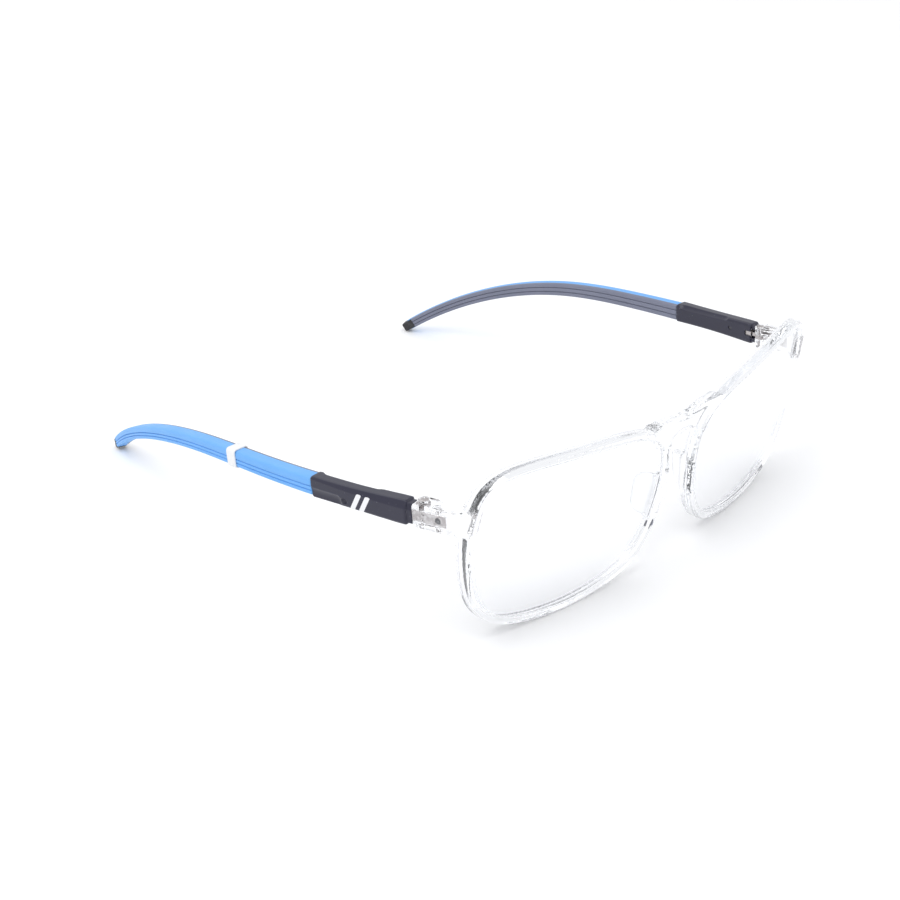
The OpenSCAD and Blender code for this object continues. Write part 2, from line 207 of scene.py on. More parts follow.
FLOAT, VECTOR, COLOUR = "NodeSocketFloat", "NodeSocketVector", "NodeSocketColor"
GEOMETRY, MATERIAL, WHOLE, SWITCH = "NodeSocketGeometry", "NodeSocketMaterial", "NodeSocketInt", "NodeSocketBool"


# ---------------------------------------------------------------- meshes


def new_object(name: str, points: np.ndarray, faces: Sequence, edges: Sequence = ()) -> bpy.types.Object:
    """Makes an object from points in whatever unit its later steps expect.

    Args:
        name: The object's name.
        points: An array of N by 3.
        faces: Corner indices of each face, or an array of M by 4.
        edges: Loose edges, for a piece that a node tree grows.
    Returns:
        The new object, linked to the scene.
    """
    mesh = bpy.data.meshes.new(name)
    if isinstance(faces, np.ndarray):
        faces = faces.tolist()
    mesh.from_pydata(np.asarray(points, float).tolist(), list(edges), faces)
    mesh.update()
    made = bpy.data.objects.new(name, mesh)
    bpy.context.scene.collection.objects.link(made)
    return made


def vertex_values(mesh: bpy.types.Mesh, what: str) -> np.ndarray:
    """A vector of every vertex, as N by 3."""
    found = np.empty(len(mesh.vertices) * 3)
    mesh.vertices.foreach_get(what, found)
    return found.reshape(-1, 3)


def settle(made: bpy.types.Object, angle: float = 35.0) -> bpy.types.Object:
    """Shades a finished piece smooth, keeps its corners sharp, and marks its convex edges for wear."""
    mesh = made.data
    mesh.shade_smooth()
    mesh.set_sharp_from_angle(angle=math.radians(angle))
    count = len(mesh.vertices)
    place, normal = vertex_values(mesh, "co"), vertex_values(mesh, "normal")
    ends = np.empty(len(mesh.edges) * 2, int)
    mesh.edges.foreach_get("vertices", ends)
    a, b = ends.reshape(-1, 2).T
    total, share = np.zeros(count), np.zeros(count)
    span = place[b] - place[a]
    length = np.maximum(np.linalg.norm(span, axis=1), 1e-9)
    for here, way in ((a, span), (b, -span)):
        np.add.at(total, here, -np.einsum("ij,ij->i", way, normal[here]) / length)
        np.add.at(share, here, 1)
    bend = np.clip(total / np.maximum(share, 1) * 2.5, 0, 1)
    mark = mesh.attributes.get("edge") or mesh.attributes.new("edge", "FLOAT", "POINT")
    mark.data.foreach_set("value", bend.astype(np.float32))
    return made


def bake_nodes(made: bpy.types.Object, tree: bpy.types.NodeTree, values: dict[str, object]) -> bpy.types.Object:
    """Runs a geometry tree on a piece and keeps its result as a plain mesh.

    Args:
        made: The piece, holding the tree's starting mesh.
        tree: The geometry tree.
        values: The tree's inputs by name.
    Returns:
        The same piece with its mesh replaced and no modifier left.
    """
    modifier = made.modifiers.new("nodes", "NODES")
    modifier.node_group = tree
    for item in tree.interface.items_tree:
        if item.in_out == "INPUT" and item.name in values:
            modifier[item.identifier] = values[item.name]
    graph = bpy.context.evaluated_depsgraph_get()
    graph.update()
    baked = bpy.data.meshes.new_from_object(made.evaluated_get(graph))
    made.modifiers.clear()
    old, made.data = made.data, baked
    bpy.data.meshes.remove(old)
    baked.name = made.name
    return made


def dress(made: bpy.types.Object, material: bpy.types.Material) -> bpy.types.Object:
    """Gives a piece one material."""
    made.data.materials.clear()
    made.data.materials.append(material)
    return made


def ring_faces(rows: int, n: int, closed: bool = False) -> list[tuple]:
    """Quads that join rings of n points, each to the next, and the last to the first if closed."""
    return [(i * n + j, (i + 1) % rows * n + j, (i + 1) % rows * n + (j + 1) % n, i * n + (j + 1) % n)
            for i in range(rows if closed else rows - 1) for j in range(n)]


def loft(sections: Sequence[np.ndarray], stations: Sequence[float]) -> tuple[np.ndarray, list]:
    """Joins closed sections of equal length into a solid, with fanned ends.

    Args:
        sections: One array of (outward, up) for each station, counter-clockwise seen from the front end.
        stations: Distance along for each section.
    Returns:
        Points as (outward, along, up) and the faces.
    """
    n, last = len(sections[0]), len(sections) - 1
    rows = [np.column_stack([p[:, 0], np.full(n, s), p[:, 1]]) for p, s in zip(sections, stations)]
    points = np.vstack(rows + [rows[0].mean(0)[None], rows[-1].mean(0)[None]])
    faces = ring_faces(last + 1, n)
    front, back = len(points) - 2, len(points) - 1
    faces += [(j, (j + 1) % n, front) for j in range(n)]
    faces += [(last * n + (j + 1) % n, last * n + j, back) for j in range(n)]
    return points, faces


def even_line(points: np.ndarray, count: int) -> np.ndarray:
    """Points spaced evenly along an open line."""
    run = np.concatenate([[0], np.cumsum(np.linalg.norm(np.diff(points, axis=0), axis=1))])
    at = np.linspace(0, run[-1], count)
    return np.column_stack([np.interp(at, run, points[:, k]) for k in range(points.shape[1])])


def rounded_line(half_x: float, half_y: float, radius: float) -> np.ndarray:
    """A rectangle with round corners as a fixed number of even points, from the middle of its outward side."""
    shape = rounded_box(half_x, half_y, radius)
    start = np.array([[half_x, 0.0]])
    return even_line(np.vstack([start, shape, start]), SECTION_POINTS + 1)[:-1]


def rounded_box(half_x: float, half_y: float, radius: float, count: int = 6) -> np.ndarray:
    """A rectangle with round corners, as a closed line."""
    turn = np.linspace(0, math.pi / 2, count)
    corners = ((1, 1, 0), (-1, 1, 1), (-1, -1, 2), (1, -1, 3))
    return np.vstack([
        np.column_stack([
            x * (half_x - radius) + radius * np.cos(turn + k * math.pi / 2),
            y * (half_y - radius) + radius * np.sin(turn + k * math.pi / 2),
        ]) for x, y, k in corners
    ])


# ---------------------------------------------------------------- distance fields


def smooth_min(a: np.ndarray, b: np.ndarray, k: float) -> np.ndarray:
    """The lower of two distances, with a fillet of about k where they meet."""
    if k <= 0:
        return np.minimum(a, b)
    h = np.clip(0.5 + 0.5 * (b - a) / k, 0, 1)
    return b + (a - b) * h - k * h * (1 - h)


def smooth_max(a: np.ndarray, b: np.ndarray, k: float) -> np.ndarray:
    """The higher of two distances, with a rounding of about k where they meet."""
    return -smooth_min(-a, -b, k)


def box_distance(half: Sequence[float], radius: float, *offsets: np.ndarray) -> np.ndarray:
    """Distance to a box with round edges, from offsets to its centre along each axis."""
    q = [np.abs(o) - (h - radius) for o, h in zip(offsets, half)]
    outside = np.sqrt(sum(np.maximum(v, 0) ** 2 for v in q))
    inside = q[0]
    for v in q[1:]:
        inside = np.maximum(inside, v)
    return outside + np.minimum(inside, 0) - radius


def rod_distance(radius: float, half: float, rounding: float, a: np.ndarray, b: np.ndarray,
                 along: np.ndarray) -> np.ndarray:
    """Distance to a round bar with rounded ends."""
    return box_distance((radius, half), rounding, np.sqrt(a * a + b * b), along)


def capsule_distance(radius: float, start: Sequence[float], end: Sequence[float], *place: np.ndarray) -> np.ndarray:
    """Distance to a bar with ball ends between two points."""
    way = np.subtract(end, start)
    t = sum((p - s) * w for p, s, w in zip(place, start, way)) / float(way @ way)
    t = np.clip(t, 0, 1)
    return np.sqrt(sum((p - s - w * t) ** 2 for p, s, w in zip(place, start, way))) - radius


def outline_distance(outline: np.ndarray, x: np.ndarray, y: np.ndarray) -> np.ndarray:
    """Signed distance to a closed outline in a plane, negative inside it."""
    best = np.full(np.broadcast(x, y).shape, 1e9)
    inside = np.zeros(best.shape, bool)
    for (ax, ay), (bx, by) in zip(outline, np.roll(outline, -1, axis=0)):
        ex, ey = bx - ax, by - ay
        wx, wy = x - ax, y - ay
        t = np.clip((wx * ex + wy * ey) / max(ex * ex + ey * ey, 1e-12), 0, 1)
        best = np.minimum(best, (wx - ex * t) ** 2 + (wy - ey * t) ** 2)
        crosses = ((ay > y) != (by > y)) & (wx < ex * wy / (ey if ey else 1e-12))
        inside ^= crosses
    return np.where(inside, -1, 1) * np.sqrt(best)


class Casting:
    """A block of signed distances from which a moulded piece's skin is drawn."""

    def __init__(self, low: Sequence[float], high: Sequence[float], steps: Sequence[float]) -> None:
        """Lays out the block.

        Args:
            low: Lowest corner.
            high: Highest corner.
            steps: Spacing along each axis.
        """
        self.axes = [np.arange(a, b + s * 0.5, s) for a, b, s in zip(low, high, steps)]
        self.values = np.full([len(a) for a in self.axes], 5.0, np.float32)

    def grid(self) -> list[np.ndarray]:
        """The three coordinates, ready to broadcast."""
        return list(np.meshgrid(*self.axes, indexing="ij", sparse=True))

    def within(self, low: Sequence[float], high: Sequence[float]) -> tuple[tuple, list[np.ndarray]]:
        """The part of the block between two corners, as slices and coordinates."""
        cut = tuple(
            slice(int(np.searchsorted(a, lo)), int(np.searchsorted(a, hi)))
            for a, lo, hi in zip(self.axes, low, high)
        )
        return cut, list(np.meshgrid(*[a[c] for a, c in zip(self.axes, cut)], indexing="ij", sparse=True))

    def join(self, shape: np.ndarray, fillet: float, cut: tuple = (Ellipsis,)) -> None:
        """Adds a shape, blended into what is there."""
        self.values[cut] = smooth_min(self.values[cut], shape, fillet)

    def carve(self, shape: np.ndarray, rounding: float, cut: tuple = (Ellipsis,)) -> None:
        """Takes a shape away."""
        self.values[cut] = smooth_max(self.values[cut], -shape, rounding)

    def mirrored(self) -> "Casting":
        """The block with its reflection in X = 0 added, for a block that ends there."""
        self.axes[0] = np.concatenate([self.axes[0], -self.axes[0][-2::-1]])
        self.values = np.concatenate([self.values, self.values[-2::-1]])
        return self

    def skin(self) -> tuple[np.ndarray, np.ndarray]:
        """Draws the surface where the distance is nought.

        Returns:
            Points and four-cornered faces that point outwards.
        """
        v = self.values
        inside = v < 0
        shape = [n - 1 for n in v.shape]
        corners = [(i, j, k) for i in (0, 1) for j in (0, 1) for k in (0, 1)]
        view = {c: inside[c[0]:c[0] + shape[0], c[1]:c[1] + shape[1], c[2]:c[2] + shape[2]] for c in corners}
        count = sum(view[c].astype(np.int8) for c in corners)
        cells = np.argwhere((count > 0) & (count < 8))
        number = np.full(shape, -1, np.int64)
        number[tuple(cells.T)] = np.arange(len(cells))
        value = {c: v[cells[:, 0] + c[0], cells[:, 1] + c[1], cells[:, 2] + c[2]].astype(float) for c in corners}
        total, share = np.zeros((len(cells), 3)), np.zeros(len(cells))
        for c in corners:
            for axis in range(3):
                if c[axis]:
                    continue
                d = tuple(1 if k == axis else c[k] for k in range(3))
                a, b = value[c], value[d]
                crosses = (a < 0) != (b < 0)
                t = np.where(crosses, a / np.where(crosses, a - b, 1), 0)
                point = np.tile(np.array(c, float), (len(cells), 1))
                point[:, axis] += t
                total += np.where(crosses[:, None], point, 0)
                share += crosses
        local = cells + total / share[:, None]
        points = np.column_stack([np.interp(local[:, k], np.arange(len(self.axes[k])), self.axes[k]) for k in range(3)])
        faces = []
        for axis in range(3):
            u, w = (axis + 1) % 3, (axis + 2) % 3
            first = [slice(1, -1)] * 3
            first[axis] = slice(0, -1)
            second = list(first)
            second[axis] = slice(1, None)
            a, b = inside[tuple(first)], inside[tuple(second)]
            for out, flip in ((a & ~b, False), (~a & b, True)):
                at = np.argwhere(out)
                at[:, u] += 1
                at[:, w] += 1
                ring = []
                for du, dw in ((-1, -1), (0, -1), (0, 0), (-1, 0)):
                    cell = at.copy()
                    cell[:, u] += du
                    cell[:, w] += dw
                    ring.append(number[tuple(cell.T)])
                faces.append(np.column_stack(ring[::-1] if flip else ring))
        return points, np.vstack(faces)


def relax(points: np.ndarray, faces: np.ndarray, rounds: int, amount: float = 0.5) -> np.ndarray:
    """Evens out a skin, moving each point towards its neighbours and back so that it doesn't shrink."""
    a = faces.ravel()
    b = np.roll(faces, -1, axis=1).ravel()
    share = np.bincount(a, minlength=len(points)) + np.bincount(b, minlength=len(points))
    for step in range(rounds * 2):
        total = np.zeros_like(points)
        for k in range(3):
            total[:, k] = np.bincount(a, points[b, k], len(points)) + np.bincount(b, points[a, k], len(points))
        points = points + (amount if step % 2 == 0 else -amount * 1.04) * (total / share[:, None] - points)
    return points


# ---------------------------------------------------------------- finishes


class Effects:
    """Surface effects that several finishes share, each built once as a node group."""

    def __init__(self) -> None:
        self.grain = self._grain()
        self.handling = self._handling()
        self.wear = self._wear()
        self.dust = self._dust()

    def _grain(self) -> bpy.types.NodeTree:
        """Fine moulded texture over a slow waviness."""
        w, given, out = new_tree(
            "moulded_grain", "ShaderNodeTree",
            {"Scale": (FLOAT, 4000.0), "Waves": (FLOAT, 120.0), "Wave Share": (FLOAT, 0.3),
             "Roughness": (FLOAT, 0.4), "Spread": (FLOAT, 0.1)},
            {"Height": FLOAT, "Roughness": FLOAT},
        )
        place = w.add("ShaderNodeTexCoord").outputs["Object"]
        fine = w.noise(place, given["Scale"], 2.0, 0.6)
        slow = w.noise(place, given["Waves"], 2.0, 0.4)
        height = w.math("MULTIPLY_ADD", slow, given["Wave Share"], fine)
        centred = w.math("SUBTRACT", w.math("ADD", w.math("MULTIPLY", fine, 0.4), w.math("MULTIPLY", slow, 0.6)), 0.5)
        w.feed(out["Height"], height)
        w.feed(out["Roughness"], w.math("MULTIPLY_ADD", centred, given["Spread"], given["Roughness"]))
        return w.tree

    def _handling(self) -> bpy.types.NodeTree:
        """Faint smears from fingers: patches that are a little duller."""
        w, given, out = new_tree(
            "handling_marks", "ShaderNodeTree",
            {"Roughness": (FLOAT, 0.1), "Amount": (FLOAT, 0.1), "Scale": (FLOAT, 60.0)},
            {"Roughness": FLOAT, "Mask": FLOAT},
        )
        place = w.add("ShaderNodeTexCoord").outputs["Object"]
        stretched = w.vector("MULTIPLY", place, (1.0, 0.6, 1.6))
        patch = w.ramp(w.noise(stretched, given["Scale"], 4.0, 0.6), 0.52, 0.72)
        ridges = w.noise(place, w.math("MULTIPLY", given["Scale"], 18.0), 1.0)
        mask = w.math("MULTIPLY", patch, w.math("MULTIPLY_ADD", ridges, 0.6, 0.5))
        w.feed(out["Mask"], mask)
        w.feed(out["Roughness"], w.math("MULTIPLY_ADD", mask, given["Amount"], given["Roughness"]))
        return w.tree

    def _wear(self) -> bpy.types.NodeTree:
        """Edges rubbed lighter, broken up so that no edge is worn evenly."""
        w, given, out = new_tree(
            "edge_wear", "ShaderNodeTree",
            {"Colour": (COLOUR, None), "Worn": (COLOUR, None), "Amount": (FLOAT, 0.3)},
            {"Colour": COLOUR, "Mask": FLOAT},
        )
        place = w.add("ShaderNodeTexCoord").outputs["Object"]
        edge = w.add("ShaderNodeAttribute", attribute_name="edge").outputs["Fac"]
        broken = w.ramp(w.noise(place, 900.0, 3.0), 0.35, 0.7)
        mask = w.math("MULTIPLY", w.math("MULTIPLY", w.ramp(edge, 0.05, 0.5), broken), given["Amount"])
        w.feed(out["Mask"], mask)
        w.feed(out["Colour"], w.mix(mask, given["Colour"], given["Worn"]))
        return w.tree

    def _dust(self) -> bpy.types.NodeTree:
        """A few pale specks and a slow shift of tone."""
        w, given, out = new_tree(
            "dust_and_tone", "ShaderNodeTree",
            {"Colour": (COLOUR, None), "Second": (COLOUR, None), "Specks": (FLOAT, 0.2), "Tone": (FLOAT, 0.5)},
            {"Colour": COLOUR},
        )
        place = w.add("ShaderNodeTexCoord").outputs["Object"]
        tone = w.math("MULTIPLY", w.ramp(w.noise(place, 90.0, 3.0), 0.3, 0.7), given["Tone"])
        speck = w.ramp(w.noise(place, 2600.0, 1.0), 0.74, 0.8)
        toned = w.mix(tone, given["Colour"], given["Second"])
        w.feed(out["Colour"], w.mix(w.math("MULTIPLY", speck, given["Specks"]), toned, (0.75, 0.76, 0.78, 1.0)))
        return w.tree


def start_material(name: str) -> tuple[bpy.types.Material, Wiring, bpy.types.Node]:
    """A new material with its shader.

    Args:
        name: The material's name.
    Returns:
        The material, its wiring and its Principled BSDF.
    """
    made = bpy.data.materials.new(name)
    made.use_nodes = True
    w = Wiring(made.node_tree)
    made.node_tree.nodes.clear()
    shader = w.add("ShaderNodeBsdfPrincipled")
    w.named("ShaderNodeOutputMaterial", {"Surface": shader.outputs[0]})
    return made, w, shader


def place_group(w: Wiring, tree: bpy.types.NodeTree, **values: Socket) -> bpy.types.Node:
    """Adds a shared effect to a material, with its inputs by name."""
    return w.named("ShaderNodeGroup", {k.replace("_", " "): v for k, v in values.items()}, node_tree=tree)


def bump(w: Wiring, shader: bpy.types.Node, height: Socket, strength: float, depth: float) -> None:
    """Feeds a height to the shader's normal.

    Args:
        w: The material's wiring.
        shader: Its Principled BSDF.
        height: The height.
        strength: How strongly it shows.
        depth: Its depth in metres.
    """
    node = w.named("ShaderNodeBump", {"Strength": strength, "Distance": depth, "Height": height})
    w.feed(shader.inputs["Normal"], node.outputs[0])


@dataclass(frozen=True)
class MouldedPlastic:
    """An opaque moulded plastic or rubber."""

    name: str
    colour: tuple
    second: tuple
    worn: tuple
    roughness: float
    spread: float = 0.12
    grain: float = 4200.0
    depth: float = 0.00002
    strength: float = 0.35
    wear: float = 0.3
    specks: float = 0.15
    soft: float = 0.0

    def build(self, effects: Effects) -> bpy.types.Material:
        """Makes the material from the shared effects."""
        made, w, shader = start_material(self.name)
        tone = place_group(w, effects.dust, Colour=(*self.colour, 1), Second=(*self.second, 1), Specks=self.specks)
        worn = place_group(w, effects.wear, Colour=tone.outputs[0], Worn=(*self.worn, 1), Amount=self.wear)
        grain = place_group(w, effects.grain, Scale=self.grain, Roughness=self.roughness, Spread=self.spread)
        marks = place_group(w, effects.handling, Roughness=grain.outputs["Roughness"], Amount=0.08)
        w.feed(shader.inputs["Base Color"], worn.outputs["Colour"])
        w.feed(shader.inputs["Roughness"], marks.outputs["Roughness"])
        bump(w, shader, grain.outputs["Height"], self.strength, self.depth)
        shader.inputs["IOR"].default_value = 1.5
        if self.soft:
            shader.inputs["Subsurface Weight"].default_value = self.soft
            shader.inputs["Subsurface Radius"].default_value = (0.4, 0.6, 1.0)
            shader.inputs["Subsurface Scale"].default_value = 0.0006
        return made


@dataclass(frozen=True)
class ClearPlastic:
    """A clear moulded or polished plastic."""

    name: str
    tint: tuple
    index: float
    roughness: float
    smears: float
    waves: float
    strength: float

    def build(self, effects: Effects) -> bpy.types.Material:
        """Makes the material from the shared effects."""
        made, w, shader = start_material(self.name)
        grain = place_group(w, effects.grain, Scale=1500.0, Waves=self.waves, Wave_Share=3.0,
                            Roughness=self.roughness, Spread=self.roughness * 0.6)
        marks = place_group(w, effects.handling, Roughness=grain.outputs["Roughness"], Amount=self.smears)
        w.feed(shader.inputs["Roughness"], marks.outputs["Roughness"])
        shader.inputs["Base Color"].default_value = (*self.tint, 1)
        shader.inputs["Transmission Weight"].default_value = 1.0
        shader.inputs["IOR"].default_value = self.index
        bump(w, shader, grain.outputs["Height"], self.strength, 0.00001)
        return made


@dataclass(frozen=True)
class TurnedMetal:
    """A machined or stamped metal with fine tool lines."""

    name: str
    colour: tuple
    worn: tuple
    roughness: float
    lines: tuple = (9000.0, 500.0, 9000.0)
    strength: float = 0.25

    def build(self, effects: Effects) -> bpy.types.Material:
        """Makes the material from the shared effects."""
        made, w, shader = start_material(self.name)
        place = w.add("ShaderNodeTexCoord").outputs["Object"]
        lines = w.noise(w.vector("MULTIPLY", place, self.lines), 1.0, 2.0)
        worn = place_group(w, effects.wear, Colour=(*self.colour, 1), Worn=(*self.worn, 1), Amount=0.8)
        grain = place_group(w, effects.grain, Scale=5200.0, Roughness=self.roughness, Spread=0.14)
        marks = place_group(w, effects.handling, Roughness=grain.outputs["Roughness"], Amount=0.12, Scale=300.0)
        w.feed(shader.inputs["Base Color"], worn.outputs["Colour"])
        w.feed(shader.inputs["Roughness"], marks.outputs["Roughness"])
        shader.inputs["Metallic"].default_value = 1.0
        bump(w, shader, w.math("MULTIPLY_ADD", lines, 0.7, grain.outputs["Height"]), self.strength, 0.000012)
        return made


class Finish(Enum):
    """The finishes of the spectacles."""

    CLEAR_NYLON = ClearPlastic("clear_nylon", (0.985, 0.99, 1.0), 1.42, 0.012, 0.03, 70.0, 0.015)
    LENS = ClearPlastic("clear_lens", (0.985, 0.99, 1.0), 1.46, 0.004, 0.008, 30.0, 0.006)
    HOUSING = MouldedPlastic("black_housing", (0.0125, 0.012, 0.031), (0.018, 0.0175, 0.038), (0.10, 0.10, 0.14), 0.32,
                             strength=0.25)
    SPINE = MouldedPlastic("black_spine", (0.016, 0.016, 0.02), (0.024, 0.024, 0.028), (0.1, 0.1, 0.11), 0.5)
    BLUE = MouldedPlastic("blue_cover", (0.135, 0.385, 0.79), (0.165, 0.42, 0.83), (0.32, 0.58, 0.94), 0.5,
                          wear=0.18, specks=0.05, soft=0.06, strength=0.25)
    GREY = MouldedPlastic("grey_cover", (0.16, 0.172, 0.235), (0.19, 0.20, 0.27), (0.34, 0.35, 0.41), 0.52,
                          wear=0.2, specks=0.08, strength=0.25)
    WHITE_BAND = MouldedPlastic("white_band", (0.80, 0.80, 0.80), (0.74, 0.745, 0.76), (0.9, 0.9, 0.9), 0.42,
                                specks=0.0)
    PAINT = MouldedPlastic("white_paint", (0.82, 0.82, 0.83), (0.76, 0.76, 0.78), (0.55, 0.55, 0.57), 0.35,
                           depth=0.00001, specks=0.05)
    STEEL = TurnedMetal("hinge_steel", (0.46, 0.43, 0.425), (0.78, 0.76, 0.75), 0.32)
    DARK_STEEL = TurnedMetal("dark_steel", (0.10, 0.10, 0.11), (0.4, 0.4, 0.4), 0.38)


class Palette:
    """Builds each finish once, the first time it is asked for."""

    def __init__(self) -> None:
        self.effects = Effects()
        self.made: dict[Finish, bpy.types.Material] = {}

    def get(self, finish: Finish) -> bpy.types.Material:
        """The material of a finish."""
        if finish not in self.made:
            self.made[finish] = finish.value.build(self.effects)
        return self.made[finish]


# ---------------------------------------------------------------- the temple's curve


@dataclass(frozen=True)
class SpineRule:
    """The curve that a temple follows from the hinge back over the ear."""

    half_width: float = 66.0
    length: float = 137.0
    splay: float = 9.4
    pitch: float = 4.7
    curl_linear: float = 14.3
    curl_square: float = 7.0
    bend_start: float = 49.0
    bend_ease: float = 25.0
    bend_rate: float = 0.417
    back_shift: float = 55.4
    stand_height: float = 10.7 + 19.5 * math.cos(math.radians(6)) + 2.3

    def tree_values(self, side: Side, material: bpy.types.Material) -> dict[str, object]:
        """The curve's sizes as inputs of the node tree that bends a piece along it."""
        return {
            "Left": side is Side.LEFT, "Half Width": self.half_width, "Length": int(self.length),
            "Splay": self.splay, "Pitch": self.pitch, "Curl Linear": self.curl_linear,
            "Curl Square": self.curl_square, "Bend Start": self.bend_start, "Bend Ease": self.bend_ease,
            "Bend Rate": self.bend_rate, "Back Shift": self.back_shift, "Stand Height": self.stand_height,
            "Material": material,
        }

    def angles(self, s: np.ndarray) -> tuple[np.ndarray, np.ndarray]:
        """Heading and droop at each station, in radians."""
        heading = -self.splay + self.curl_linear * (s / 100) + self.curl_square * (s / 100) ** 2
        past = s - self.bend_start
        eased = np.clip(past, 0, self.bend_ease) ** 2 / (2 * self.bend_ease) + np.maximum(past - self.bend_ease, 0)
        return np.radians(heading), np.radians(self.pitch + self.bend_rate * eased)

    def frames(self, s: np.ndarray) -> tuple[np.ndarray, np.ndarray, np.ndarray]:
        """Place, outward and up directions at each station, in the drawing frame."""
        mid_h, mid_d = self.angles(np.arange(0, self.length + 2) + 0.5)
        along = np.column_stack([np.cos(mid_d) * np.sin(mid_h), np.cos(mid_d) * np.cos(mid_h), -np.sin(mid_d)])
        line = np.vstack([[0, 0, 0], np.cumsum(along, axis=0)]) + [-self.half_width, 0, 0]
        place = np.column_stack([np.interp(s, np.arange(len(line)), line[:, k]) for k in range(3)])
        h, d = self.angles(s)
        up = np.column_stack([np.sin(d) * np.sin(h), np.sin(d) * np.cos(h), np.cos(d)])
        outward = np.column_stack([-np.cos(h), np.sin(h), np.zeros_like(h)])
        return place, outward, up

    def hinge_turn(self) -> np.ndarray:
        """Columns are the hinge frame's axes: inwards, along the temple and up."""
        turn = Matrix.Rotation(math.radians(self.splay), 3, "Z") @ Matrix.Rotation(math.radians(-self.pitch), 3, "X")
        return np.array(turn)

    def to_hinge(self, u: np.ndarray, s: np.ndarray, z: np.ndarray) -> list[np.ndarray]:
        """Turns straightened places (outward, along, up) into the hinge frame."""
        place, outward, up = self.frames(s.ravel())
        turn = self.hinge_turn()
        base = (place - [-self.half_width, 0, 0]) @ turn
        out, high = outward @ turn, up @ turn
        return [
            (base[:, k][None, :, None] + u * out[:, k][None, :, None] + z * high[:, k][None, :, None])
            for k in range(3)
        ]

    def from_hinge(self, points: np.ndarray, side: Side) -> np.ndarray:
        """Takes hinge-frame points in millimetres to the row frame in metres."""
        placed = points @ self.hinge_turn().T + [-self.half_width, -self.back_shift, self.stand_height]
        return placed * [side.mirror * MM, MM, MM]

    def height(self, s: float) -> float:
        """Height of the covered part of the temple."""
        return 5.0 - 2.0 * s / self.length

    def half_thickness(self, s: float) -> float:
        """Half of its thickness."""
        return 1.925 - 0.25 * s / self.length


